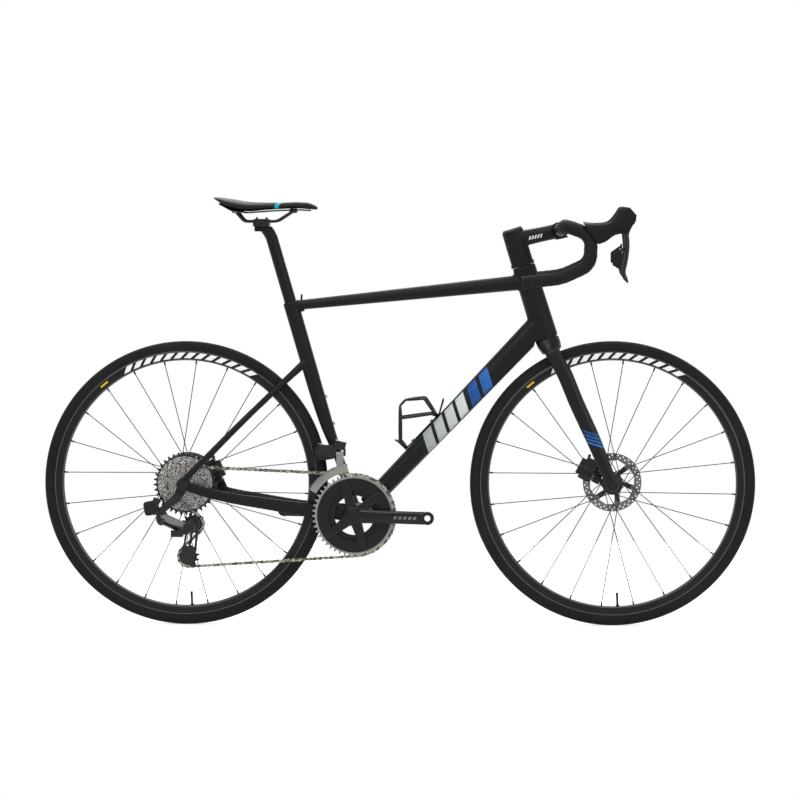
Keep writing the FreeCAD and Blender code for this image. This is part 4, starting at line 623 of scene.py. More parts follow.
def effect_group(effect: Effect) -> bpy.types.NodeTree:
    """Shared node group, made the first time it is asked for.

    Edge wear is how far the rounded normal leaves the true one, broken up by noise. Dust is an upward
    normal times noise. Polar gives radius and turn about an axle in the XZ plane. Tone is slow noise
    between two factors.

    Args:
        effect: which group.

    Returns:
        The node tree.
    """
    if effect.value in bpy.data.node_groups:
        return bpy.data.node_groups[effect.value]
    tree = bpy.data.node_groups.new(effect.value, "ShaderNodeTree")
    bench = Bench(tree)
    wanted = {Effect.EDGE_WEAR: (("Radius", 0.0008), ("Amount", 1.0), ("Grain Scale", 300.0)),
              Effect.DUST: (("Amount", 0.2), ("Grain Scale", 60.0)),
              Effect.POLAR: (("Centre X", 0.0), ("Centre Z", 0.0)),
              Effect.TONE: (("Grain Scale", 12.0), ("Low", 0.85), ("High", 1.15))}[effect]
    for name, value in wanted:
        made = tree.interface.new_socket(name, in_out="INPUT", socket_type="NodeSocketFloat")
        made.default_value = value
    given = tree.nodes.new("NodeGroupInput").outputs
    results: dict[str, Socket] = {}
    coords = bench.add("TexCoord").outputs["Object"]
    if effect is Effect.EDGE_WEAR:
        rounded = bench.add("Bevel", {"Radius": given["Radius"]}, samples=4).outputs[0]
        true = bench.add("NewGeometry").outputs["Normal"]
        away = bench.math("SUBTRACT", 1.0, bench.vector("DOT_PRODUCT", rounded, true).outputs["Value"])
        broken = bench.noise(coords, given["Grain Scale"], 4.0)
        edge = bench.fade(away, 0.01, 0.12)
        spotty = bench.fade(broken, 0.42, 0.62)
        results["Mask"] = bench.math("MULTIPLY", bench.both(edge, spotty), given["Amount"])
    elif effect is Effect.DUST:
        up = bench.along(bench.add("NewGeometry").outputs["Normal"], Z_AXIS)
        speck = bench.noise(coords, given["Grain Scale"], 6.0)
        settled = bench.both(bench.fade(up, 0.2, 1.0), bench.fade(speck, 0.45, 0.75))
        results["Mask"] = bench.math("MULTIPLY", settled, given["Amount"])
    elif effect is Effect.POLAR:
        parts = bench.add("SeparateXYZ", {0: coords}).outputs
        x = bench.math("SUBTRACT", parts[0], given["Centre X"])
        z = bench.math("SUBTRACT", parts[2], given["Centre Z"])
        square = bench.math("ADD", bench.math("MULTIPLY", x, x), bench.math("MULTIPLY", z, z))
        results["Radius"] = bench.math("SQRT", square)
        results["Turn"] = bench.math("ARCTAN2", z, x)
        results["Side"] = parts[1]
    else:
        slow = bench.noise(coords, given["Grain Scale"], 2.0)
        ranged = bench.add("MapRange", {0: slow, 1: 0.3, 2: 0.7, 3: given["Low"], 4: given["High"]})
        results["Factor"] = ranged.outputs[0]
    for name in results:
        tree.interface.new_socket(name, in_out="OUTPUT", socket_type="NodeSocketFloat")
    out = tree.nodes.new("NodeGroupOutput")
    for name, socket in results.items():
        tree.links.new(socket, out.inputs[name])
    return tree


@dataclass(frozen=True)
class Finish:
    """A surface finish: colour, gloss, grain and wear.

    Sizes of grain are in metres; scales are cells per metre.
    """

    name: str
    colour: Colour
    roughness: float = 0.5
    metallic: float = 0.0
    specular: float = 0.22
    grain_scale: float = 900.0
    grain_height: float = 0.00004
    grain_strength: float = 0.35
    tone_low: float = 0.85
    tone_high: float = 1.2
    wear: float = 0.25
    wear_colour: Colour = (0.09, 0.09, 0.09, 1.0)
    dust: float = 0.05

    def call(self, bench: Bench, effect: Effect, values: dict) -> bpy.types.Node:
        """Use of a shared group in this material."""
        node = bench.tree.nodes.new("ShaderNodeGroup")
        node.node_tree = effect_group(effect)
        for key, value in values.items():
            bench.join(value, node.inputs[key])
        return node

    def height(self, bench: Bench, coords: Socket) -> Socket:
        """Fine relief of the surface, 0 to 1."""
        return bench.noise(coords, self.grain_scale, 4.0)

    def paint(self, bench: Bench, coords: Socket, colour: Socket, rough: Socket) -> tuple[Socket, Socket]:
        """Markings over the ground colour; plain here."""
        return colour, rough

    def polar(self, bench: Bench, centre: np.ndarray) -> bpy.types.Node:
        """Radius, turn and side about an axle."""
        return self.call(bench, Effect.POLAR, {"Centre X": float(centre[0]), "Centre Z": float(centre[2])})

    def shine(self, bench: Bench, coords: Socket) -> float | Socket:
        """Metallic value; plain here."""
        return self.metallic

    def material(self) -> bpy.types.Material:
        """Material with this finish, made once.

        Returns:
            The material.
        """
        name = f"{self.name}_finish"
        if name in bpy.data.materials:
            return bpy.data.materials[name]
        made = bpy.data.materials.new(name)
        made.use_nodes = True
        made.node_tree.nodes.clear()
        bench = Bench(made.node_tree)
        coords = bench.add("TexCoord").outputs["Object"]
        tone = self.call(bench, Effect.TONE, {"Low": self.tone_low, "High": self.tone_high}).outputs["Factor"]
        scaled = bench.vector("SCALE", self.colour[:3])
        bench.join(tone, scaled.inputs["Scale"])
        relief = self.height(bench, coords)
        rough = bench.math("MULTIPLY_ADD", relief, 0.1, self.roughness - 0.05)
        colour, rough = self.paint(bench, coords, scaled.outputs[0], rough)
        worn = self.call(bench, Effect.EDGE_WEAR, {"Amount": self.wear}).outputs["Mask"]
        dusty = self.call(bench, Effect.DUST, {"Amount": self.dust}).outputs["Mask"]
        colour = bench.mix(worn, colour, self.wear_colour)
        colour = bench.mix(dusty, colour, DUST_COLOUR)
        rough = bench.math("ADD", rough, bench.math("MULTIPLY", dusty, 0.5))
        bump = bench.add("Bump", {"Height": relief, "Distance": self.grain_height,
                                  "Strength": self.grain_strength})
        shader = bench.add("BsdfPrincipled", {
            "Base Color": colour, "Roughness": rough, "Normal": bump.outputs[0],
            "Metallic": self.shine(bench, coords), "Specular IOR Level": self.specular})
        out = bench.add("OutputMaterial")
        bench.tree.links.new(shader.outputs[0], out.inputs[0])
        return made


@dataclass(frozen=True)
class Bars:
    """A row of slanted bars on a surface.

    The row runs along a line from a start; a bar leans by the lean times the height across the row.
    """

    start: tuple[float, float, float]
    line: tuple[float, float, float]
    count: int
    pitch: float
    share: float
    half_height: float
    lean: float
    colour: Colour
    far_colour: Colour

    def mask(self, bench: Bench, coords: Socket) -> tuple[Socket, Socket]:
        """Mask of the bars and the place along the row from 0 to 1.

        Args:
            bench: tree to work in.
            coords: place on the object.

        Returns:
            The mask and the share of the row's length.
        """
        line = np.array(self.line) / np.linalg.norm(self.line)
        across = np.cross(line, Y_AXIS)
        offset = bench.vector("SUBTRACT", coords, self.start).outputs[0]
        up = bench.along(offset, across)
        run = bench.math("SUBTRACT", bench.along(offset, line), bench.math("MULTIPLY", up, self.lean))
        cell = bench.math("DIVIDE", run, self.pitch)
        part = bench.math("FRACT", cell)
        bar = bench.within(part, 0.5 - self.share / 2, 0.5 + self.share / 2, 0.012)
        row = bench.both(bench.within(cell, 0.0, float(self.count), 0.01),
                         bench.within(up, -self.half_height, self.half_height, 0.0004))
        return bench.both(bar, row), bench.math("DIVIDE", cell, float(self.count))


@dataclass(frozen=True)
class Lacquer(Finish):
    """Black lacquer over carbon with rows of slanted bars."""

    rows: tuple[Bars, ...] = ()

    def height(self, bench: Bench, coords: Socket) -> Socket:
        """Very slight orange peel under a fine grain."""
        peel, grain = bench.noise(coords, 120.0, 1.0), bench.noise(coords, 1800.0)
        return bench.math("ADD", bench.math("MULTIPLY", peel, 0.7), bench.math("MULTIPLY", grain, 0.3))

    def paint(self, bench: Bench, coords: Socket, colour: Socket, rough: Socket) -> tuple[Socket, Socket]:
        """The bars, fading from one colour to the other along each row."""
        for row in self.rows:
            mask, share = row.mask(bench, coords)
            colour = bench.mix(mask, colour, bench.mix(share, row.colour, row.far_colour))
            rough = bench.blend(mask, rough, 0.32)
        return colour, rough


@dataclass(frozen=True)
class Wrap(Finish):
    """Cork-like bar tape: soft dark foam, pressed dots and pale flecks."""

    def height(self, bench: Bench, coords: Socket) -> Socket:
        """Pressed dots 2.2 mm apart over a fine foam grain."""
        dots = bench.fade(bench.cells(coords, 460.0), 0.15, 0.45)
        return bench.math("MULTIPLY_ADD", bench.noise(coords, 1500.0), 0.35, dots)

    def paint(self, bench: Bench, coords: Socket, colour: Socket, rough: Socket) -> tuple[Socket, Socket]:
        """Pale flecks where fine cells are small."""
        fleck = bench.fade(bench.cells(coords, 620.0), 0.17, 0.10)
        rare = bench.fade(bench.noise(coords, 260.0, 1.0), 0.50, 0.58)
        return bench.mix(bench.both(fleck, rare), colour, FLECK_COLOUR), rough


@dataclass(frozen=True)
class Moulding(Finish):
    """Moulded rubber or leather with a pebbled skin."""

    pebble: float = 700.0

    def height(self, bench: Bench, coords: Socket) -> Socket:
        """Pebbles: smooth cell distance with a little noise."""
        cell = bench.add("TexVoronoi", {"Vector": coords, "Scale": self.pebble, "Smoothness": 0.4},
                         feature="SMOOTH_F1").outputs["Distance"]
        return bench.math("MULTIPLY_ADD", bench.noise(coords, 1600.0), 0.25, cell)


@dataclass(frozen=True)
class SaddleSkin(Moulding):
    """Saddle cover skin with one slanted stripe and two sewn lines."""

    def paint(self, bench: Bench, coords: Socket, colour: Socket, rough: Socket) -> tuple[Socket, Socket]:
        """A bright slanted stripe and the seams beside the channel.

        Args:
            bench: tree to work in.
            coords: place on the object.
            colour: ground colour.
            rough: ground roughness.

        Returns:
            The colour and the roughness.
        """
        parts = bench.add("SeparateXYZ", {0: coords}).outputs
        lean = bench.math("MULTIPLY_ADD", bench.math("ABSOLUTE", parts[1]), 0.25, parts[0])
        run = bench.math("MULTIPLY_ADD", parts[2], -0.4, lean)
        base = float(CLAMP[0] + 0.042 - 0.4 * (CLAMP[2] + 0.042))
        wide = bench.within(run, base, base + 0.009, 0.0006)
        colour = bench.mix(wide, colour, tint(30, 168, 186))
        seam = bench.within(bench.math("ABSOLUTE", parts[1]), 0.0105, 0.0113, 0.0003)
        return bench.mix(bench.math("MULTIPLY", seam, 0.5), colour, SEAM_COLOUR), rough


@dataclass(frozen=True)
class TyreRubber(Finish):
    """Tyre rubber: file tread beside a smooth centre, ribbed sidewall."""

    centre: tuple[float, float, float] = (0.0, 0.0, 0.0)

    def height(self, bench: Bench, coords: Socket) -> Socket:
        """Slanted grooves between 4 and 10 mm from the middle, rings on the sidewall.

        Args:
            bench: tree to work in.
            coords: place on the object.

        Returns:
            The relief from 0 to 1.
        """
        polar = self.polar(bench, np.array(self.centre)).outputs
        side = bench.math("ABSOLUTE", polar["Side"])
        phase = bench.math("MULTIPLY_ADD", side, 900.0, bench.math("MULTIPLY", polar["Turn"], 420.0))
        groove = bench.math("MULTIPLY_ADD", bench.math("SINE", phase), 0.5, 0.5)
        band = bench.both(bench.within(side, 0.0042, 0.0098, 0.0003),
                          bench.fade(polar["Radius"], 0.328, 0.330))
        wave = bench.math("SINE", bench.math("MULTIPLY", polar["Radius"], 5200.0))
        rings = bench.math("MULTIPLY_ADD", wave, 0.12, 0.5)
        wall = bench.blend(bench.fade(polar["Radius"], 0.331, 0.328), 0.9, rings)
        return bench.blend(band, wall, groove)

    def paint(self, bench: Bench, coords: Socket, colour: Socket, rough: Socket) -> tuple[Socket, Socket]:
        """Slightly greyer centre strip and a dull sidewall."""
        polar = self.polar(bench, np.array(self.centre)).outputs
        tread = bench.fade(polar["Radius"], 0.3355, 0.3385)
        colour = bench.mix(bench.math("MULTIPLY", tread, 0.6), colour, tint(62, 62, 62))
        return colour, bench.math("MULTIPLY_ADD", tread, 0.08, rough)


@dataclass(frozen=True)
class RimLacquer(Finish):
    """Satin black rim with a row of white slanted bars on its upper arc."""

    centre: tuple[float, float, float] = (0.0, 0.0, 0.0)
    first: float = 57.0
    last: float = 119.0
    count: int = 13

    def paint(self, bench: Bench, coords: Socket, colour: Socket, rough: Socket) -> tuple[Socket, Socket]:
        """White bars that lean along the rim, a small yellow tag behind them and two thin rings.

        Args:
            bench: tree to work in.
            coords: place on the object.
            colour: ground colour.
            rough: ground roughness.

        Returns:
            The colour and the roughness.
        """
        polar = self.polar(bench, np.array(self.centre)).outputs
        radius = polar["Radius"]
        degrees = bench.math("MULTIPLY", polar["Turn"], 180 / math.pi)
        lean = bench.math("MULTIPLY", bench.math("SUBTRACT", radius, 0.305), 190.0)
        run = bench.math("ADD", degrees, lean)
        pitch = (self.last - self.first) / self.count
        cell = bench.math("DIVIDE", bench.math("SUBTRACT", run, self.first), pitch)
        bar = bench.within(bench.math("FRACT", cell), 0.16, 0.80, 0.02)
        row = bench.both(bench.within(cell, 0.0, float(self.count), 0.01),
                         bench.within(radius, 0.2985, 0.3118, 0.0003))
        colour = bench.mix(bench.both(bar, row), colour, tint(236, 238, 238))
        tag = bench.both(bench.within(degrees, 127.5, 131.5, 0.05),
                         bench.within(radius, 0.3035, 0.3075, 0.0002))
        colour = bench.mix(tag, colour, tint(214, 178, 40))
        rings = bench.math("MAXIMUM", bench.within(radius, 0.2945, 0.2957, 0.0003),
                           bench.within(radius, 0.3126, 0.3134, 0.0003))
        return bench.mix(bench.math("MULTIPLY", rings, 0.9), colour, tint(118, 119, 121)), rough


@dataclass(frozen=True)
class Brushed(Finish):
    """Turned or brushed metal with marks round an axle."""

    centre: tuple[float, float, float] = (0.0, 0.0, 0.0)
    lines: float = 9000.0

    def height(self, bench: Bench, coords: Socket) -> Socket:
        """Noise stretched round the axle: radius times the line count, turn times a few."""
        polar = self.polar(bench, np.array(self.centre)).outputs
        joined = bench.add("CombineXYZ", {0: bench.math("MULTIPLY", polar["Radius"], self.lines),
                                          1: bench.math("MULTIPLY", polar["Turn"], 6.0), 2: polar["Side"]})
        return bench.noise(joined.outputs[0], 1.0, 3.0)


@dataclass(frozen=True)
class Bands(Brushed):
    """Metal part whose colour changes with the distance from the axle."""

    edges: tuple[float, ...] = ()
    colours: tuple[Colour, ...] = ()
    metals: tuple[float, ...] = ()

    def paint(self, bench: Bench, coords: Socket, colour: Socket, rough: Socket) -> tuple[Socket, Socket]:
        """Each band takes over from its inner edge outwards."""
        radius = self.polar(bench, np.array(self.centre)).outputs["Radius"]
        for edge, band in zip(self.edges, self.colours):
            colour = bench.mix(bench.fade(radius, edge - 0.0002, edge + 0.0002), colour, band)
        return colour, rough

    def shine(self, bench: Bench, coords: Socket) -> float | Socket:
        """Metallic value of each band."""
        radius = self.polar(bench, np.array(self.centre)).outputs["Radius"]
        value = self.metallic
        for edge, metal in zip(self.edges, self.metals):
            value = bench.blend(bench.fade(radius, edge - 0.0002, edge + 0.0002), value, metal)
        return value


@dataclass(frozen=True)
class Cogs(Bands):
    """Stacked cogs: bright steel broken by dark gaps, windows and shadows between the teeth."""

    def paint(self, bench: Bench, coords: Socket, colour: Socket, rough: Socket) -> tuple[Socket, Socket]:
        """Dark cells in rings 4 mm apart, each ring turned against the next, under the bands.

        Args:
            bench: tree to work in.
            coords: place on the object.
            colour: ground colour.
            rough: ground roughness.

        Returns:
            The colour and the roughness.
        """
        polar = self.polar(bench, np.array(self.centre)).outputs
        ring = bench.math("MULTIPLY", polar["Radius"], 250.0)
        shift = bench.math("MULTIPLY", bench.math("FLOOR", ring), 1.7)
        turn = bench.math("MULTIPLY_ADD", polar["Turn"], 5.0, shift)
        joined = bench.add("CombineXYZ", {0: bench.math("MULTIPLY", ring, 2.0), 1: turn, 2: 0.0}).outputs[0]
        dark = bench.fade(bench.noise(joined, 1.5, 2.0), 0.56, 0.46)
        edge = bench.within(bench.math("FRACT", ring), 0.0, 0.22, 0.05)
        broken = bench.math("MAXIMUM", bench.math("MULTIPLY", dark, 0.95), bench.math("MULTIPLY", edge, 0.8))
        colour = bench.mix(broken, colour, tint(24, 23, 22))
        return super().paint(bench, coords, colour, rough)


@dataclass(frozen=True)
class Links(Finish):
    """Chain metal: pale plates with painted shade in the gaps between them."""

    def paint(self, bench: Bench, coords: Socket, colour: Socket, rough: Socket) -> tuple[Socket, Socket]:
        """Dark patches of painted shade, a few millimetres wide and about half a link apart."""
        # painted shade of the gaps between the chain's plates
        gap_shade = bench.fade(bench.noise(coords, 165.0, 1.0), 0.53, 0.46)
        return bench.mix(bench.math("MULTIPLY", gap_shade, 0.85), colour, tint(38, 35, 31)), rough


@dataclass(frozen=True)
class CrankLacquer(Finish):
    """Glossy black crank arm with a grey patch near the pedal."""

    def paint(self, bench: Bench, coords: Socket, colour: Socket, rough: Socket) -> tuple[Socket, Socket]:
        """Short grey bars along the arm's outer face."""
        line = (1.0, 0.0, -0.026)
        row = Bars(tuple(BOTTOM_BRACKET + np.array([0.093, 0.0, -0.003])), line, 5, 0.0115, 0.62, 0.0036,
                   0.35, tint(96, 98, 100), tint(108, 110, 112))
        mask, share = row.mask(bench, coords)
        outer = bench.fade(bench.add("SeparateXYZ", {0: coords}).outputs[1], -0.060, -0.0615)
        return bench.mix(bench.both(mask, outer), colour, bench.mix(share, row.colour, row.far_colour)), rough


DOWN_HEAD = on_steer(38.0, -6.0)
DOWN_FOOT = BOTTOM_BRACKET + np.array([28.0, 0.0, 22.0]) * MM
DOWN_LINE = (DOWN_HEAD - DOWN_FOOT) / np.linalg.norm(DOWN_HEAD - DOWN_FOOT)
SILVER = tint(205, 210, 212)
ASH = tint(150, 156, 158)
BLUE = tint(46, 104, 176)
DEEP_BLUE = tint(28, 66, 128)


class Paints:
    """All finishes of the bicycle."""

    FRAME = Lacquer("frame_lacquer", tint(17, 17, 18), 0.45, specular=0.13, wear=0.05, rows=(
        Bars(tuple(DOWN_FOOT + DOWN_LINE * 0.200), tuple(DOWN_LINE), 4, 0.037, 0.74, 0.021, 0.55,
             ASH, SILVER),
        Bars(tuple(DOWN_FOOT + DOWN_LINE * 0.351), tuple(DOWN_LINE), 2, 0.040, 0.74, 0.021, 0.55,
             DEEP_BLUE, BLUE)))
    FORK = Lacquer("fork_lacquer", tint(13, 13, 14), 0.34, specular=0.18, wear=0.05, rows=(
        Bars((0.4700, 0.0, 0.4300), (-0.34, 0.0, 0.94), 4, 0.0095, 0.58, 0.016, 0.75, BLUE, DEEP_BLUE),))
    CARBON = Lacquer("satin_carbon", tint(14, 14, 15), 0.4, specular=0.14, wear=0.05)
    STEM = Lacquer("stem_black", tint(16, 16, 17), 0.42, specular=0.14, wear=0.1, rows=(
        Bars(tuple(BAR_CENTRE + np.array([-0.0735, 0.0, -0.0185])), (0.977, 0.0, 0.212), 5, 0.0068, 0.62,
             0.0040, 0.5, tint(215, 216, 218), tint(215, 216, 218)),))
    ALLOY = Finish("anodised_black", tint(20, 20, 21), 0.38, specular=0.2, wear=0.3,
                   wear_colour=tint(110, 110, 112))
    SHIFTER = Finish("derailleur_black", tint(16, 16, 17), 0.28, specular=0.3, wear=0.4,
                     wear_colour=tint(120, 121, 123))
    LINK = Finish("link_grey", tint(104, 105, 107), 0.3, metallic=0.5, wear=0.6,
                  wear_colour=tint(190, 191, 193))
    PLASTIC = Finish("black_plastic", tint(18, 18, 18), 0.5, specular=0.14, wear=0.1, grain_scale=1400.0,
                     grain_height=0.00003)
    COVER = Finish("cover_plastic", tint(24, 24, 25), 0.5, specular=0.14, wear=0.1)
    CAGE = Finish("cage_plastic", tint(13, 13, 14), 0.34, specular=0.2, wear=0.1)
    TAPE = Wrap("bar_wrap", tint(18, 18, 19), 0.68, specular=0.16, grain_height=0.00022,
                grain_strength=0.7, wear=0.0)
    HOOD = Moulding("hood_rubber", tint(18, 18, 19), 0.6, specular=0.12, grain_height=0.00006, wear=0.0,
                    pebble=900.0)
    SADDLE = SaddleSkin("saddle_skin", tint(18, 17, 17), 0.5, specular=0.16, grain_height=0.00012, wear=0.0)
    SHELL = Finish("saddle_shell", tint(14, 14, 15), 0.32, specular=0.2, wear=0.1)
    STEEL = Finish("bright_steel", tint(132, 130, 126), 0.3, metallic=0.45, specular=0.4, wear=0.1,
                   wear_colour=tint(225, 225, 225))
    DARK_STEEL = Finish("dark_steel", tint(70, 71, 73), 0.32, metallic=0.9, wear=0.2,
                        wear_colour=tint(160, 160, 160))
    SPOKE = Finish("spoke_black", tint(24, 24, 25), 0.36, specular=0.2, wear=0.1)
    CHAIN = Links("chain_steel", tint(158, 153, 140), 0.42, metallic=0.25, specular=0.3, wear=0.1,
                  wear_colour=tint(190, 186, 176), tone_low=0.7, tone_high=1.15)
    PAD = Finish("pad_compound", tint(74, 60, 50), 0.8, grain_scale=2200.0, grain_height=0.0001, wear=0.0)
    RINGS = Bands("chainring_metal", tint(13, 13, 14), 0.3, specular=0.2, centre=tuple(BOTTOM_BRACKET),
                  edges=(0.0885,), colours=(tint(136, 136, 136),), metals=(0.35,), wear=0.1)
    COGS = Cogs("cog_steel", tint(206, 205, 202), 0.3, metallic=0.6, centre=tuple(REAR_AXLE),
                edges=(0.0655,), colours=(tint(40, 40, 41),), metals=(0.8,), wear=0.3,
                wear_colour=tint(220, 220, 220))
    CRANK = CrankLacquer("crank_lacquer", tint(9, 9, 10), 0.22, specular=0.25, wear=0.05, dust=0.02)

    @staticmethod
    def wheel(end: str, axle: np.ndarray) -> tuple[Finish, Finish, Finish]:
        """Tyre, rim and rotor finishes of one wheel.

        Args:
            end: front or rear.
            axle: middle of the wheel.

        Returns:
            The three finishes, each centred on the axle.
        """
        centre = tuple(axle)
        tyre = TyreRubber(f"{end}_tyre_rubber", tint(27, 27, 27), 0.66, specular=0.08, grain_height=0.0002,
                          grain_strength=0.6, wear=0.0, centre=centre)
        rim = RimLacquer(f"{end}_rim_lacquer", tint(14, 14, 15), 0.3, specular=0.2, wear=0.1, centre=centre)
        rotor = Bands(f"{end}_rotor_steel", tint(40, 40, 41), 0.3, metallic=0.6, centre=centre,
                      edges=(0.046,), colours=(tint(104, 104, 106),), metals=(0.9,))
        return tyre, rim, rotor


# ------------------------------------------------------------------ sub-assemblies
def stay(stations: np.ndarray, u: np.ndarray, count: int = 60) -> Surface:
    """Tapered stay through rows of x, y, z, half size along u and half size across."""
    rows = eased(stations, count)
    return skin(rows[:, :3], rows[:, 3], rows[:, 4], u, Y_AXIS, power=2.3)


@dataclass
class FrameSet:
    """One-piece frame; all sizes in millimetres."""

    head_length: float = 181.0
    head_halves: tuple[float, float] = (28.5, 25.0)
    shell_radius: float = 27.0
    shell_half: float = 43.25
    dropout_radius: float = 17.0
    dropout_y: tuple[float, float] = (71.0, 79.0)
    seat_stations: tuple = ((772, 0, 18.3, 18.5), (650, 0, 17.9, 18.5), (545, 0, 17.3, 18.5),
                            (470, 2, 15, 19), (415, 6, 11.5, 21), (340, 9, 12, 27), (273, 7, 16, 34))
    chainstay_stations: tuple = ((-12, 3, 26.5, 20, 6.0), (-60, 8, 27, 18, 5.4), (-122, 14, 32, 16.5, 7),
                                 (-215, 29, 49, 14.5, 8), (-300, 44, 65, 13, 6.5), (-352, 57, 73, 13, 5))
    seatstay_stations: tuple = ((0, 75, 9, 3.7), (0.12, 74.6, 7.5, 4), (0.24, 68, 7, 4.5),
                                (0.42, 52, 7, 5), (0.6, 37, 7, 5.5), (0.76, 27.5, 7.5, 6),
                                (0.88, 20.5, 8.5, 6.5), (1, 12, 10, 7))

    def head(self) -> Surface:
        """Head tube, a little deeper at the crown."""
        u, v = self.head_halves
        rows = [(*on_steer(t, -1.5), (u + grow) * MM, (v + side) * MM)
                for t, grow, side in ((1, 1, 1), (self.head_length / 2, 0, 0), (self.head_length, -1, 0))]
        rows = np.array(rows)
        return skin(rows[:, :3], rows[:, 3], rows[:, 4], STEER_FRONT, Y_AXIS, power=2.3)

    def beam(self, start: np.ndarray, end: np.ndarray, first: tuple, last: tuple) -> Surface:
        """Straight tapered tube in the middle plane; sizes are half depth and half width."""
        line = (end - start) / np.linalg.norm(end - start)
        up = np.cross(line, Y_AXIS)
        share = np.linspace(0.0, 1.0, 8)[:, None]
        sizes = (np.array(first) * (1 - share) + np.array(last) * share) * MM
        return skin(start + (end - start) * share, sizes[:, 0], sizes[:, 1], up, Y_AXIS, power=2.6)

    def seat(self) -> Surface:
        """Seat tube, cut away at the back where the tyre passes."""
        rows = np.array([(*on_seat(level, forward), u * MM, v * MM)
                         for level, forward, u, v in self.seat_stations])
        return stay(rows, SEAT_FRONT)

    def chainstay(self) -> Surface:
        """Right chainstay: level at the bottom bracket, bowed round the tyre, flat at the axle."""
        rows = [(BOTTOM_BRACKET[0] + x * MM, -y * MM, BOTTOM_BRACKET[2] + z * MM, u * MM, v * MM)
                for x, z, y, u, v in self.chainstay_stations]
        rows.append((REAR_AXLE[0] + 0.002, -0.075, REAR_AXLE[2] - 0.001, 0.012, 0.0037))
        return stay(np.array(rows), Z_AXIS, 80)

    def seatstay(self) -> Surface:
        """Right seatstay from the axle to low on the seat tube, slightly arched."""
        head = on_seat(632.0)
        way = head - REAR_AXLE
        up = np.cross(way / np.linalg.norm(way), Y_AXIS)
        rows = []
        for share, y, u, v in self.seatstay_stations:
            lift = (4 * math.sin(math.pi * share) + 6 * (1 - share)) * MM
            point = REAR_AXLE + way * share + up * lift
            rows.append((point[0], -y * MM, point[2], u * MM, v * MM))
        return stay(np.array(rows), up, 80)

    def pad(self) -> Surface:
        """Raised pad on the left chainstay under the rear caliper."""
        out = np.array([math.cos(math.radians(22)), 0, math.sin(math.radians(22))])
        line = np.array([-out[2], 0, out[0]])
        centre = REAR_AXLE + out * 0.0645 + Y_AXIS * 0.0697 - line * 0.042
        return box_on(centre, np.stack([line, Y_AXIS, out]), np.array([0.009, 0.006, 0.015]))

    def bores(self) -> list[Surface]:
        """Room for the post, the bearings, the spindle, the axle and the fork's crown."""
        return [rod(on_seat(800), on_seat(540), 0.0138),
                rod(on_steer(-5), on_steer(self.head_length + 5), 0.0209),
                rod(on_steer(-24), on_steer(0.8), 0.035),
                cross_rod(BOTTOM_BRACKET, 0.06, 0.0205),
                cross_rod(REAR_AXLE, 0.09, 0.006)]

    def build(self) -> None:
        """Make the frame and dress the metal set into it."""
        right = self.chainstay().joined(self.seatstay())
        low, high = (y * MM for y in self.dropout_y)
        dropout = rod(REAR_AXLE - Y_AXIS * high, REAR_AXLE - Y_AXIS * low, self.dropout_radius * MM)
        right = right.joined(dropout)
        top = self.beam(on_steer(143, -6), on_seat(762), (18.5, 21), (11.5, 16))
        down = self.beam(DOWN_HEAD, DOWN_FOOT, (28, 25), (21, 31))
        shell = cross_rod(BOTTOM_BRACKET, self.shell_half * MM, self.shell_radius * MM, 96)
        whole = self.head().joined(top).joined(down).joined(self.seat()).joined(shell).joined(self.pad())
        whole = whole.joined(right).joined(right.mirrored())
        obj = solid("frame_shape", whole)
        melt(obj, 0.0025, 6)
        carve(obj, self.bores())
        place(obj, "frame", "carbon_frame", Paints.FRAME, "frame")
        dress(Paints.ALLOY, "seatpost_wedge", "bottom_bracket_cups", "rear_thru_axle", "derailleur_hanger")
        dress(Paints.DARK_STEEL, "headset_bearings")
        dress(Paints.STEEL, "frame_bolts")


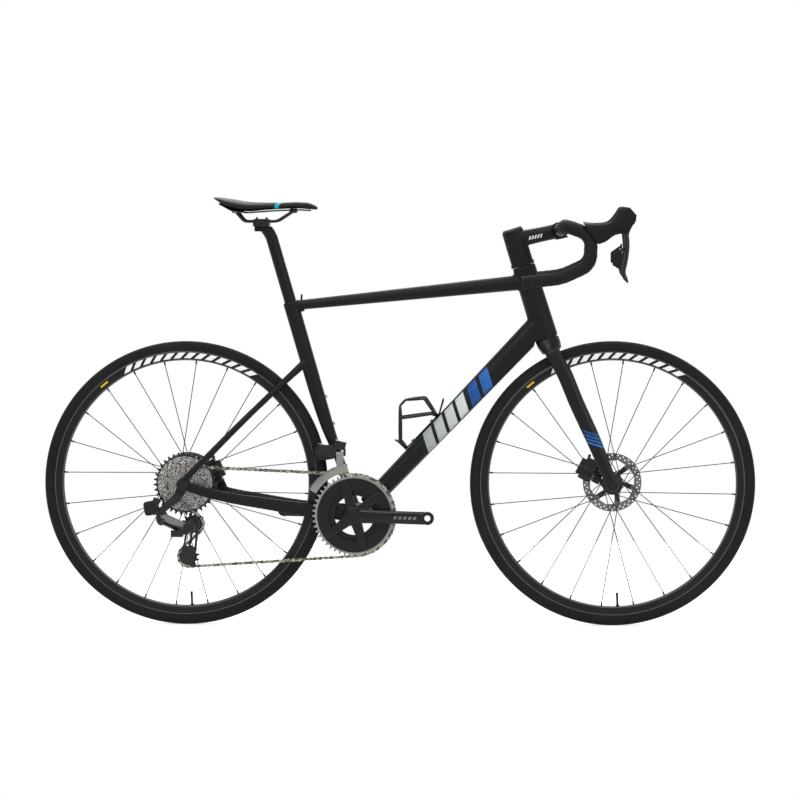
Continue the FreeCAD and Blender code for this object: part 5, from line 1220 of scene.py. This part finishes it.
@dataclass
class BottleCage:
    """Bottle cage on the down tube: rail, foot, tongue and wrapped bars; sizes in millimetres."""

    bolt_shares: tuple[float, float] = (0.315, 0.4224)
    bottle_radius: float = 37.0
    strand_radius: float = 3.1
    bars: tuple = (((-22, 2), (-22, 24), (39, 83), (46, 83)),
                   ((43, 83), (58, 83), (93, 53), (84, 13), (84, 2)), ((18, 63), (78, 15), (82, 2)))
    bend: float = 9.0
    root_half: float = 8.0

    def place_of(self, share: float) -> np.ndarray:
        """Point on the down tube's upper face."""
        up = np.cross(DOWN_LINE, Y_AXIS)
        return DOWN_FOOT + (DOWN_HEAD - DOWN_FOOT) * share + up * (21 + 7 * share) * MM

    def plate(self, outline: tuple, half: float) -> Surface:
        """Flat bar from places along the rail and heights above the tube."""
        low, up = self.place_of(self.bolt_shares[0]), np.cross(DOWN_LINE, Y_AXIS)
        points = np.array([low + (DOWN_LINE * a + up * h) * MM for a, h in outline])
        return prism(points[:, [0, 2]], -half * MM, half * MM)

    def bar(self, corners: tuple) -> Surface:
        """Bar that is straight from the side and lies on the bottle.

        Its distance from the middle plane is the root of reach squared less the height from the bottle's
        axis squared, and never less than the root's half width below that axis.

        Args:
            corners: places along the rail and heights above the tube, in millimetres.

        Returns:
            The bar on the drive side.
        """
        up = np.cross(DOWN_LINE, Y_AXIS)
        reach = self.bottle_radius + self.strand_radius
        flat = np.array([(a, 0.0, h) for a, h in corners], float)
        line = rounded_path(flat * MM, [self.bend * MM] * (len(flat) - 2), 0.0006) / MM
        height = line[:, 2] - reach - self.strand_radius
        aside = np.sqrt(np.clip(reach ** 2 - height ** 2, 0.0, None))
        aside = np.where(height < 0, np.maximum(aside, self.root_half), aside)
        points = (self.place_of(self.bolt_shares[0]) + (DOWN_LINE * line[:, :1] + up * line[:, 2:]) * MM
                  - Y_AXIS * aside[:, None] * MM)
        return tube(points, np.full(len(points), self.strand_radius * MM), 24)

    def build(self) -> None:
        """Make the cage as one moulding."""
        rail = self.plate(((-28, 0.2), (90, 0.2), (90, 3.4), (-28, 3.4)), 11)
        foot = self.plate(((-28, 0.2), (-24, 0.2), (-24, 30), (-27, 36), (-30, 36), (-28, 28)), 13)
        tongue = self.plate(((84, 0.2), (90, 0.2), (121, 16), (124, 22), (120, 21), (88, 3.4), (84, 3.4)), 8)
        whole = rail.joined(foot).joined(tongue)
        for corners in self.bars:
            side = self.bar(corners)
            whole = whole.joined(side).joined(side.mirrored())
        obj = solid("cage_moulding", whole)
        melt(obj, 0.0009, 4)
        place(obj, "frame", "black_plastic", Paints.CAGE, "bottle_cage")


@dataclass
class ForkSet:
    """Fork with its crown, blades and steerer, and the front axle; sizes in millimetres."""

    crown: tuple = ((0.4, 0, 28.5, 25.5), (-16, 1, 28, 31), (-34, 3, 24, 38.5))
    stations: tuple = ((0.0, 0.0, 31.0, 17.5, 7.5), (0.14, 5.0, 36.0, 17.8, 8.0), (0.4, 3.0, 40.5, 17.5, 8.5),
                       (0.7, 3.0, 48.5, 16.5, 7.5), (0.9, 1.0, 54.0, 14.5, 5.0), (1.0, 0.0, 54.5, 13.0, 4.5))
    steerer_radius: float = 14.3
    steerer_top: float = 265.0
    dropout_y: tuple[float, float] = (50.0, 58.5)

    def blade(self) -> Surface:
        """Right blade: deep under the crown, bowed forwards, slim at the dropout."""
        top, foot = on_steer(-30, 2), FRONT_AXLE + np.array([-2.0, 0, 2.0]) * MM
        way = foot - top
        forward = np.cross(way / np.linalg.norm(way), Y_AXIS)
        rows = []
        for share, bow, y, u, v in self.stations:
            point = top + way * share + forward * bow * MM
            rows.append((point[0], -y * MM, point[2], u * MM, v * MM))
        return stay(np.array(rows), forward, 80)

    def build(self) -> None:
        """Make the fork and its steerer and dress its axle."""
        rows = np.array([(*on_steer(t, forward), u * MM, v * MM) for t, forward, u, v in self.crown])
        crown = skin(rows[:, :3], rows[:, 3], rows[:, 4], STEER_FRONT, Y_AXIS, power=2.3)
        low, high = (y * MM for y in self.dropout_y)
        side = self.blade().joined(rod(FRONT_AXLE - Y_AXIS * high, FRONT_AXLE - Y_AXIS * low, 0.015))
        out = np.array([math.cos(math.radians(152)), 0, math.sin(math.radians(152))])
        line = np.array([out[2], 0, -out[0]])
        foot = box_on(FRONT_AXLE + out * 0.0365 + Y_AXIS * 0.05, np.stack([line, Y_AXIS, out]),
                      np.array([0.022, 0.005, 0.010]))
        obj = solid("fork_shape", crown.joined(side).joined(side.mirrored()).joined(foot))
        melt(obj, 0.0022, 5)
        carve(obj, [cross_rod(FRONT_AXLE, 0.022, 0.346, 180), cross_rod(FRONT_AXLE, low, 0.030),
                    cross_rod(FRONT_AXLE, 0.09, 0.006)])
        place(obj, "steering", "carbon_frame", Paints.FORK, "fork")
        steerer = rod(on_steer(0), on_steer(self.steerer_top), self.steerer_radius * MM)
        piece = solid("steerer_tube", steerer)
        place(piece, "steering", "carbon_parts", Paints.CARBON)
        dress(Paints.ALLOY, "front_thru_axle")


@dataclass
class Cockpit:
    """Stem, bar, tape, hoods and levers; sizes in millimetres from the bar's centre."""

    corners: tuple = ((0, 0, 0), (14, -198, 12), (75, -207, -11), (72, -211, -79), (4, -213, -110),
                      (-81, -216, -119))
    bends: tuple = (38, 40, 38, 120)
    bar_radius: float = 12.0
    clamp_radius: float = 15.9
    tape_radius: float = 14.75
    tape_start: float = 92.0
    wrap_pitch: float = 17.0
    wrap_rise: float = 0.6
    slot_half: float = 7.5
    hood_rows: tuple = (((57, 16), (89, -30), 16.6), ((96, 17), (108, -24), 15.5),
                        ((116, 21.5), (130, -9), 15.0), ((134, 41), (158, -6), 15.0),
                        ((143, 54), (171, 11), 14.5), ((161, 57), (181, 34), 10.5))
    blade_rows: tuple = ((5, 5.2, -5.8, 5.6), (-1, 12.5, -7, 5.9), (-7, 10.5, -5.5, 5.8),
                         (-14, 8.3, -3.8, 5.6), (-27, 9.0, -2.2, 5.4), (-40, 9.5, -1, 5.4),
                         (-55, 8.4, -1, 5.4), (-67, 7, -2.5, 5.5), (-76, 5.6, -3.6, 5.6),
                         (-84, 4, -5, 5.8), (-95, 1.4, -7.4, 5.9), (-106, 1.2, -10, 5.9),
                         (-112, 3.4, -8.2, 5.8), (-118, 5.4, -5.2, 5.5), (-123, 6.8, -0.8, 4.8),
                         (-127, 6.2, 3.2, 3.2))

    def path(self) -> np.ndarray:
        """Centre line of the right half of the bar, 1 mm steps."""
        corners = BAR_CENTRE + np.array(self.corners, float) * MM
        return rounded_path(corners, [bend * MM for bend in self.bends], MM)

    def bar(self) -> None:
        """Bar: thick at the clamp, thinning over 34 mm to its own radius."""
        half = self.path()
        whole = np.vstack([half[::-1][:-1], half * np.array([1, -1, 1])])
        grow = np.clip((63 * MM - np.abs(whole[:, 1])) / (34 * MM), 0, 1)
        radius = self.bar_radius + (self.clamp_radius - self.bar_radius) * grow * grow * (3 - 2 * grow)
        obj = solid("bar_tube", tube(whole[::3], radius[::3] * MM, 40))
        place(obj, "steering", "carbon_parts", Paints.CARBON, "handlebar")

    def tape(self) -> None:
        """Tape: radius rises over each turn and drops at its edge; the edge runs round as a helix.

        Radius = tape radius + wrap rise * (rise - 0.5), where rise is the fraction of
        (distance / pitch - angle / full turn), smoothed at the drop. Both ends are drawn in.
        """
        line = self.path()
        line = line[np.abs(line[:, 1]) > self.tape_start * MM]
        around = 44
        across, other = carried_frames(line, Z_AXIS)
        run = np.arange(len(line))[:, None] * MM
        angle = np.linspace(0, 2 * math.pi, around, endpoint=False)[None]
        part = np.mod(run / (self.wrap_pitch * MM) - angle / (2 * math.pi), 1.0)
        rise = np.where(part < 0.9, part / 0.9, (1 - part) / 0.1)
        radius = (self.tape_radius + self.wrap_rise * (rise - 0.5)) * MM
        start = 2.2 * MM * np.exp(-run / (1.2 * MM))
        radius = radius - start - 0.6 * MM * np.exp(-(run.max() - run) / (1.5 * MM))
        grid = (line[:, None] + across[:, None] * (radius * np.cos(angle))[..., None]
                + other[:, None] * (radius * np.sin(angle))[..., None])
        wrap = grid_surface(grid)
        obj = solid("bar_wrap", wrap.joined(wrap.mirrored()))
        place(obj, "steering", "bar_tape", Paints.TAPE, "bar_tape")

    def hood(self) -> None:
        """Hoods: eased superellipse stations with a raised rib round the front of the neck."""
        origin = BAR_CENTRE - Y_AXIS * 0.208
        rows = []
        for top, low, half in self.hood_rows:
            a, b = (origin + np.array([p[0], 0, p[1]]) * MM for p in (top, low))
            length = np.linalg.norm(a - b)
            rows.append((*((a + b) / 2), *((a - b) / length), length / 2, half * MM))
        rows = eased(np.array(rows), 70)
        up = rows[:, 3:6] / np.linalg.norm(rows[:, 3:6], axis=1)[:, None]
        share = np.linspace(0, 1, len(rows))
        swell = 1 + 0.03 * np.exp(-((share - 0.06) / 0.04) ** 2)
        end = np.sqrt(np.clip(1 - ((share - 0.93) / 0.075) ** 2, 0.12, 1))
        end = np.where(share < 0.93, 1.0, end)
        right = skin(rows[:, :3], rows[:, 6] * swell * end, rows[:, 7] * swell * end, up, Y_AXIS, 2.5, 56)
        outline = np.array([(-17, -30), (-13, 9), (12, 12), (30, 4), (30, -30)]) * MM + LEVER_PIVOT[[0, 2]]
        cutter = prism(outline, LEVER_PIVOT[1] - self.slot_half * MM, LEVER_PIVOT[1] + self.slot_half * MM)
        obj = solid("hood_skin", right.joined(right.mirrored()))
        carve(obj, [cutter, cutter.mirrored()])
        place(obj, "steering", "hood_rubber", Paints.HOOD, "hoods")

    def lever(self, side: str, mirror: bool) -> None:
        """Brake lever blade: superellipse stations down the blade, flicked forwards at the tip.

        Args:
            side: right or left.
            mirror: whether the blade is the mirror image of the right one.
        """
        rows = np.array([(LEVER_PIVOT[0] + (front + back) / 2 * MM, LEVER_PIVOT[1], LEVER_PIVOT[2] + z * MM,
                          (front - back) / 2 * MM, half * MM) for z, front, back, half in self.blade_rows])
        rows = eased(rows, 110)
        blade = skin(rows[:, :3], rows[:, 3], rows[:, 4], X_AXIS, Y_AXIS, 2.5, 40)
        blade = blade.joined(cross_rod(LEVER_PIVOT, 0.0058, 0.0062))
        foot = LEVER_PIVOT + np.array([-4.2, 0, -57.0]) * MM
        blade = blade.joined(rod(foot, foot + Z_AXIS * 0.0155, 0.0024, 24))
        blade = blade.mirrored() if mirror else blade
        name = f"brake_lever_{side}"
        obj = solid(f"{name}_blade", blade)
        place(obj, name, "black_alloy", Paints.SHIFTER, name)

    def build(self) -> None:
        """Make the whole cockpit."""
        self.bar()
        self.tape()
        self.hood()
        for side, mirror in (("right", False), ("left", True)):
            self.lever(side, mirror)
            paddle = f"shift_paddle_{side}"
            softened(paddle, paddle, "black_plastic", Paints.PLASTIC, 0.0007, 3)
        softened("stem", "steering", "black_alloy", Paints.STEM, 0.0011, 4)
        softened("stem_faceplate", "steering", "black_alloy", Paints.STEM, 0.0009, 3)
        dress(Paints.STEM, "headset_spacers")
        dress(Paints.DARK_STEEL, "stem_bolts")
        dress(Paints.PLASTIC, "bar_end_plugs", "lever_bodies")


@dataclass
class Seat:
    """Post, clamp, rails, shell and padded saddle; sizes in millimetres from the clamp."""

    rows: tuple = ((-114.0, 59.5, 56.5, 38.0), (-99.0, 58.8, 43.5, 63.0), (-68.0, 55.0, 27.0, 72.5),
                   (-34.0, 49.5, 22.0, 64.0), (7.0, 47.6, 25.0, 40.0), (47.0, 47.6, 27.5, 27.0),
                   (92.0, 47.8, 28.5, 21.0), (116.0, 45.0, 26.5, 18.5), (133.0, 37.5, 25.0, 14.0))
    gap: float = 3.8
    least_depth: float = 2.4
    channel_depth: float = 2.2
    channel_half: float = 8.5

    def cover(self) -> None:
        """Padded cover: rounded stations, tail and nose drawn in, a shallow channel down the middle.

        The channel lowers upward points by depth * exp(-(y / half)^2), fading out at both ends.
        """
        table = []
        for x, top, low, half in self.rows:
            under = min(low + self.gap, top - self.least_depth)
            table.append((x, 0.0, (top + under) / 2, (top - under) / 2, half))
        rows = eased(np.array(table), 120)
        rows[:, 3] = np.maximum(rows[:, 3], self.least_depth / 2)
        share = np.linspace(0, 1, len(rows))
        ends = np.sqrt(np.clip(1 - (np.clip((0.035 - share) / 0.035, 0, 1)) ** 2, 0.05, 1))
        ends = ends * np.sqrt(np.clip(1 - (np.clip((share - 0.965) / 0.035, 0, 1)) ** 2, 0.12, 1))
        centres = CLAMP + rows[:, :3] * MM
        c, s = rounded_ring(96, 2.6)
        width, depth = rows[:, 4] * ends * MM, rows[:, 3] * np.sqrt(ends) * MM
        grid = (centres[:, None, :] + Z_AXIS * (depth[:, None] * s)[..., None]
                + Y_AXIS * (width[:, None] * c)[..., None])
        window = np.exp(-((share - 0.45) / 0.3) ** 4)[:, None]
        dip = self.channel_depth * MM * np.exp(-(grid[..., 1] / (self.channel_half * MM)) ** 2) * window
        crown = 2.4 * MM * (grid[..., 1] / np.maximum(width[:, None], 1e-4)) ** 2 * window
        upper = np.clip(s, 0, 1)[None] ** 0.5
        grid[..., 2] -= (dip + crown) * upper
        obj = solid("saddle_pad", grid_surface(grid))
        place(obj, "seat", "saddle_cover", Paints.SADDLE, "saddle_cover")

    def build(self) -> None:
        """Make the saddle and dress the post."""
        self.cover()
        softened("saddle_shell", "seat", "black_plastic", Paints.SHELL, 0.0014, 4)
        softened("seatpost", "seat", "carbon_parts", Paints.CARBON, 0.0013, 4)
        dress(Paints.ALLOY, "saddle_clamp", "saddle_rails")


@dataclass
class Wheel:
    """One wheel; sizes in millimetres from its axle."""

    end: str
    axle: np.ndarray
    tyre: Finish
    rim: Finish
    rotor: Finish
    tyre_radius: float = 339.0
    tyre_half: float = 14.0
    rim_outer: float = 316.5
    rim_inner: float = 293.0
    rim_half: float = 12.0
    valve_turn: float = -87.5

    def tyre_ring(self) -> Surface:
        """Tyre: outer arc of a circle from bead to bead, thin inner arc back."""
        centre = self.tyre_radius - self.tyre_half
        start = math.asin(0.66)
        angle = np.linspace(start, 2 * math.pi - start, 40)
        out = np.stack([centre - self.tyre_half * np.cos(angle), self.tyre_half * np.sin(angle)], axis=1)
        inner = self.tyre_half - 1.6
        back = np.stack([centre - inner * np.cos(angle[::-1]), inner * np.sin(angle[::-1])], axis=1)
        bead = np.array([[self.rim_outer - 1.5, 9.2]])
        profile = np.vstack([bead, out, bead * [1, -1], bead * [1, -1] - [0, -1.6], back, bead - [0, 1.6]])
        return turned(profile * MM, self.axle, steps=300)

    def rim_ring(self) -> Surface:
        """Rim: box section with rounded shoulders, level sides and a bed with a shallow channel."""
        half, low, high = self.rim_half, self.rim_inner, self.rim_outer
        turn = np.linspace(0, math.pi / 2, 7)
        shoulder = np.stack([low + 7 - 7 * np.cos(turn), 4.0 + (half - 4.6) * np.sin(turn)], axis=1)
        side = np.array([[308.0, half], [high - 1.0, half - 0.4], [high, half - 1.0], [high, half - 2.3]])
        bed = np.array([[high - 6.5, half - 2.6], [high - 6.5, 4.5], [high - 9.5, 3.0]])
        right = np.vstack([shoulder, side, bed])
        profile = np.vstack([right, right[::-1] * [1, -1]])
        return turned(profile * MM, self.axle, steps=300)

    def valve(self) -> Surface:
        """Valve stem with its nut and cap, pointing at the hub."""
        way = np.array([math.cos(math.radians(self.valve_turn)), 0, math.sin(math.radians(self.valve_turn))])
        inner = self.axle + way * 0.262
        stem = rod(inner, self.axle + way * 0.297, 0.0028, 24)
        cap = rod(inner - way * 0.001, inner + way * 0.009, 0.003, 24)
        return stem.joined(cap).joined(rod(self.axle + way * 0.2905, self.axle + way * 0.2935, 0.0045, 24))

    def build(self) -> None:
        """Make the tyre and the rim and dress the hub, spokes and rotor."""
        body = f"{self.end}_wheel"
        tyre = solid(f"{self.end}_tyre_ring", self.tyre_ring())
        place(tyre, body, "tyre", self.tyre, f"{self.end}_tyre")
        rim = solid(f"{self.end}_rim_ring", self.rim_ring())
        place(rim, body, "black_alloy", self.rim, f"{self.end}_rim")
        valve = solid(f"{self.end}_valve", self.valve())
        place(valve, body, "black_alloy", Paints.ALLOY)
        dress(Paints.SPOKE, f"{self.end}_spokes")
        dress(Paints.ALLOY, f"{self.end}_hub")
        dress(self.rotor, f"{self.end}_rotor")


@dataclass
class DriveTrain:
    """Cranks, rings, chain, cassette and both derailleurs; covers are middle, half sizes and turn."""

    voxel: float = 0.0008
    front_cover: tuple = ((-173.0, -36.5, 414.0), (24.5, 10.5, 17.5), 8.0)
    rear_cover: tuple = ((-582.0, -94.0, 286.0), (18.0, 10.5, 17.0), 10.0)

    def cover(self, centre: np.ndarray, halves: tuple, turn: float) -> Surface:
        """Battery cover: a box with round edges, from superellipse rings whose size falls towards both ends.

        Ring size = (1 - |place|^5)^(1/5), with the place from -1 to 1 along the height.

        Args:
            centre: its middle in metres.
            halves: half sizes along, across and up, in millimetres.
            turn: slope in degrees.

        Returns:
            The closed surface.
        """
        lean = math.radians(turn)
        long_way = np.array([math.cos(lean), 0.0, math.sin(lean)])
        up = np.array([-long_way[2], 0.0, long_way[0]])
        place_along = np.sin(np.linspace(-0.49, 0.49, 25) * math.pi)
        size = (1 - np.abs(place_along) ** 5) ** 0.2
        half_long, half_side, half_up = (h * MM for h in halves)
        points = centre + up * (place_along * half_up)[:, None]
        return skin(points, half_long * size, half_side * size, long_way, Y_AXIS, 5.0, 48)

    def covers(self) -> None:
        """Battery covers of both derailleurs."""
        for name, (middle, halves, turn) in (("fd", self.front_cover), ("rd", self.rear_cover)):
            shape = self.cover(np.array(middle) * MM, halves, turn)
            piece = solid(f"{name}_battery_cover", shape)
            place(piece, "frame", "black_plastic", Paints.COVER)

    def build(self) -> None:
        """Soften the forged and moulded parts and dress the rest."""
        for side in ("right", "left"):
            softened(f"crank_arm_{side}", "crankset", "carbon_parts", Paints.CRANK, 0.0011, 5)
        dress(Paints.RINGS, "chainrings")
        dress(Paints.ALLOY, "chainring_bolts", "crank_spindle")
        dress(Paints.CHAIN, "chain")
        dress(Paints.COGS, "cassette")
        for node, body, finish in (("rd_body", "frame", Paints.SHIFTER),
                                   ("rd_knuckle", "rd_knuckle", Paints.SHIFTER),
                                   ("rd_outer_link", "rd_outer_link", Paints.LINK),
                                   ("rd_inner_link", "rd_inner_link", Paints.SHIFTER),
                                   ("rd_cage", "rd_cage", Paints.SHIFTER)):
            softened(node, body, "black_alloy", finish, self.voxel, 3)
        dress(Paints.PLASTIC, "guide_pulley", "tension_pulley")
        softened("fd_body", "frame", "black_alloy", Paints.SHIFTER, self.voxel, 3)
        dress(Paints.STEEL, "fd_cage")
        self.covers()


@dataclass
class Brakes:
    """Disc brake calipers and their pads."""

    voxel: float = 0.0008

    def build(self) -> None:
        """Soften the calipers and dress the pads."""
        for end, body in (("front", "steering"), ("rear", "frame")):
            softened(f"{end}_caliper", body, "black_alloy", Paints.SHIFTER, self.voxel, 3)
            dress(Paints.PAD, f"{end}_brake_pad_left", f"{end}_brake_pad_right")


@dataclass
class Studio:
    """Pale floor, soft lamps and the camera; metres and watts."""

    eye: tuple[float, float, float] = (0.404, -9.0, 1.019)
    yaw: float = 2.55
    pitch: float = 3.06
    roll: float = -0.09
    focal: float = 170.4

    def floor(self) -> None:
        """White floor that keeps the shadow and melts into the background."""
        size = 2.6
        points = np.array([[-size, -1.8, 0], [size, -1.8, 0], [size, 2.2, 0], [-size, 2.2, 0]], float)
        obj = solid("studio_floor", Surface(points, [np.array([[0, 1, 2, 3]])]))
        made = bpy.data.materials.new("studio_white")
        made.use_nodes = True
        made.node_tree.nodes.clear()
        bench = Bench(made.node_tree)
        seen = bench.add("LightPath").outputs
        direct = bench.math("MAXIMUM", seen["Is Camera Ray"], seen["Is Glossy Ray"])
        shader = bench.add("BsdfPrincipled", {"Base Color": (0.93, 0.93, 0.93, 1), "Roughness": 0.9,
                                              "Specular IOR Level": 0.0, "Emission Color": (1, 1, 1, 1),
                                              "Emission Strength": bench.math("MULTIPLY", direct, 0.42)})
        bench.tree.links.new(shader.outputs[0], bench.add("OutputMaterial").inputs[0])
        obj.data.materials.append(made)

    def world(self) -> None:
        """White background where it is seen directly, softer light elsewhere."""
        world = bpy.data.worlds.new("studio_world")
        bpy.context.scene.world = world
        world.use_nodes = True
        world.node_tree.nodes.clear()
        bench = Bench(world.node_tree)
        seen = bench.add("LightPath").outputs
        direct = bench.math("MAXIMUM", seen["Is Camera Ray"],
                            bench.math("MAXIMUM", seen["Is Glossy Ray"], seen["Is Transmission Ray"]))
        back = bench.add("Background", {"Color": (1, 1, 1, 1), "Strength": bench.blend(direct, 0.38, 1.0)})
        bench.tree.links.new(back.outputs[0], bench.add("OutputWorld").inputs[0])

    def lamp(self, name: str, place_at: tuple, target: tuple, size: float, watts: float) -> None:
        """Soft square lamp that points at a target."""
        data = bpy.data.lights.new(name, "AREA")
        data.shape, data.size, data.energy = "SQUARE", size, watts
        obj = add_object(name, data)
        obj.location = place_at
        obj.rotation_euler = (Vector(target) - Vector(place_at)).to_track_quat("-Z", "Y").to_euler()

    def camera(self) -> None:
        """Long lens from the drive side, turned a little to the rear and slightly down."""
        data = bpy.data.cameras.new("studio_camera")
        data.lens, data.sensor_width = self.focal, 36.0
        data.clip_end = 50.0
        obj = add_object("studio_camera", data)
        yaw, pitch, roll = (math.radians(a) for a in (self.yaw, self.pitch, self.roll))
        way = Vector((-math.sin(yaw) * math.cos(pitch), math.cos(yaw) * math.cos(pitch), -math.sin(pitch)))
        turn = way.to_track_quat("-Z", "Y").to_matrix() @ Matrix.Rotation(roll, 3, "Z")
        obj.location = self.eye
        obj.rotation_euler = turn.to_euler()
        bpy.context.scene.camera = obj

    def build(self) -> None:
        """Set the stage."""
        self.floor()
        self.world()
        self.lamp("key_lamp", (-1.6, -4.2, 3.6), (0.0, 0.0, 0.5), 2.6, 125.0)
        self.lamp("fill_lamp", (3.0, -3.6, 2.0), (0.1, 0.0, 0.5), 2.4, 55.0)
        self.lamp("top_lamp", (0.0, 0.6, 4.2), (0.0, 0.0, 0.4), 3.0, 85.0)
        self.lamp("back_lamp", (0.6, 3.8, 2.6), (0.0, 0.0, 0.5), 2.6, 70.0)
        self.camera()
        bpy.context.scene.view_settings.view_transform = "Standard"


def main() -> None:
    """Build every sub-assembly in order."""
    logging.basicConfig(level=logging.INFO, format="%(message)s")
    assemblies = (FrameSet(), BottleCage(), ForkSet(), Cockpit(), Seat(),
                  Wheel("front", FRONT_AXLE, *Paints.wheel("front", FRONT_AXLE)),
                  Wheel("rear", REAR_AXLE, *Paints.wheel("rear", REAR_AXLE)),
                  DriveTrain(), Brakes(), Studio())
    for assembly in assemblies:
        assembly.build()
        LOG.info("%s ready", type(assembly).__name__)


if __name__ == "__main__":
    main()
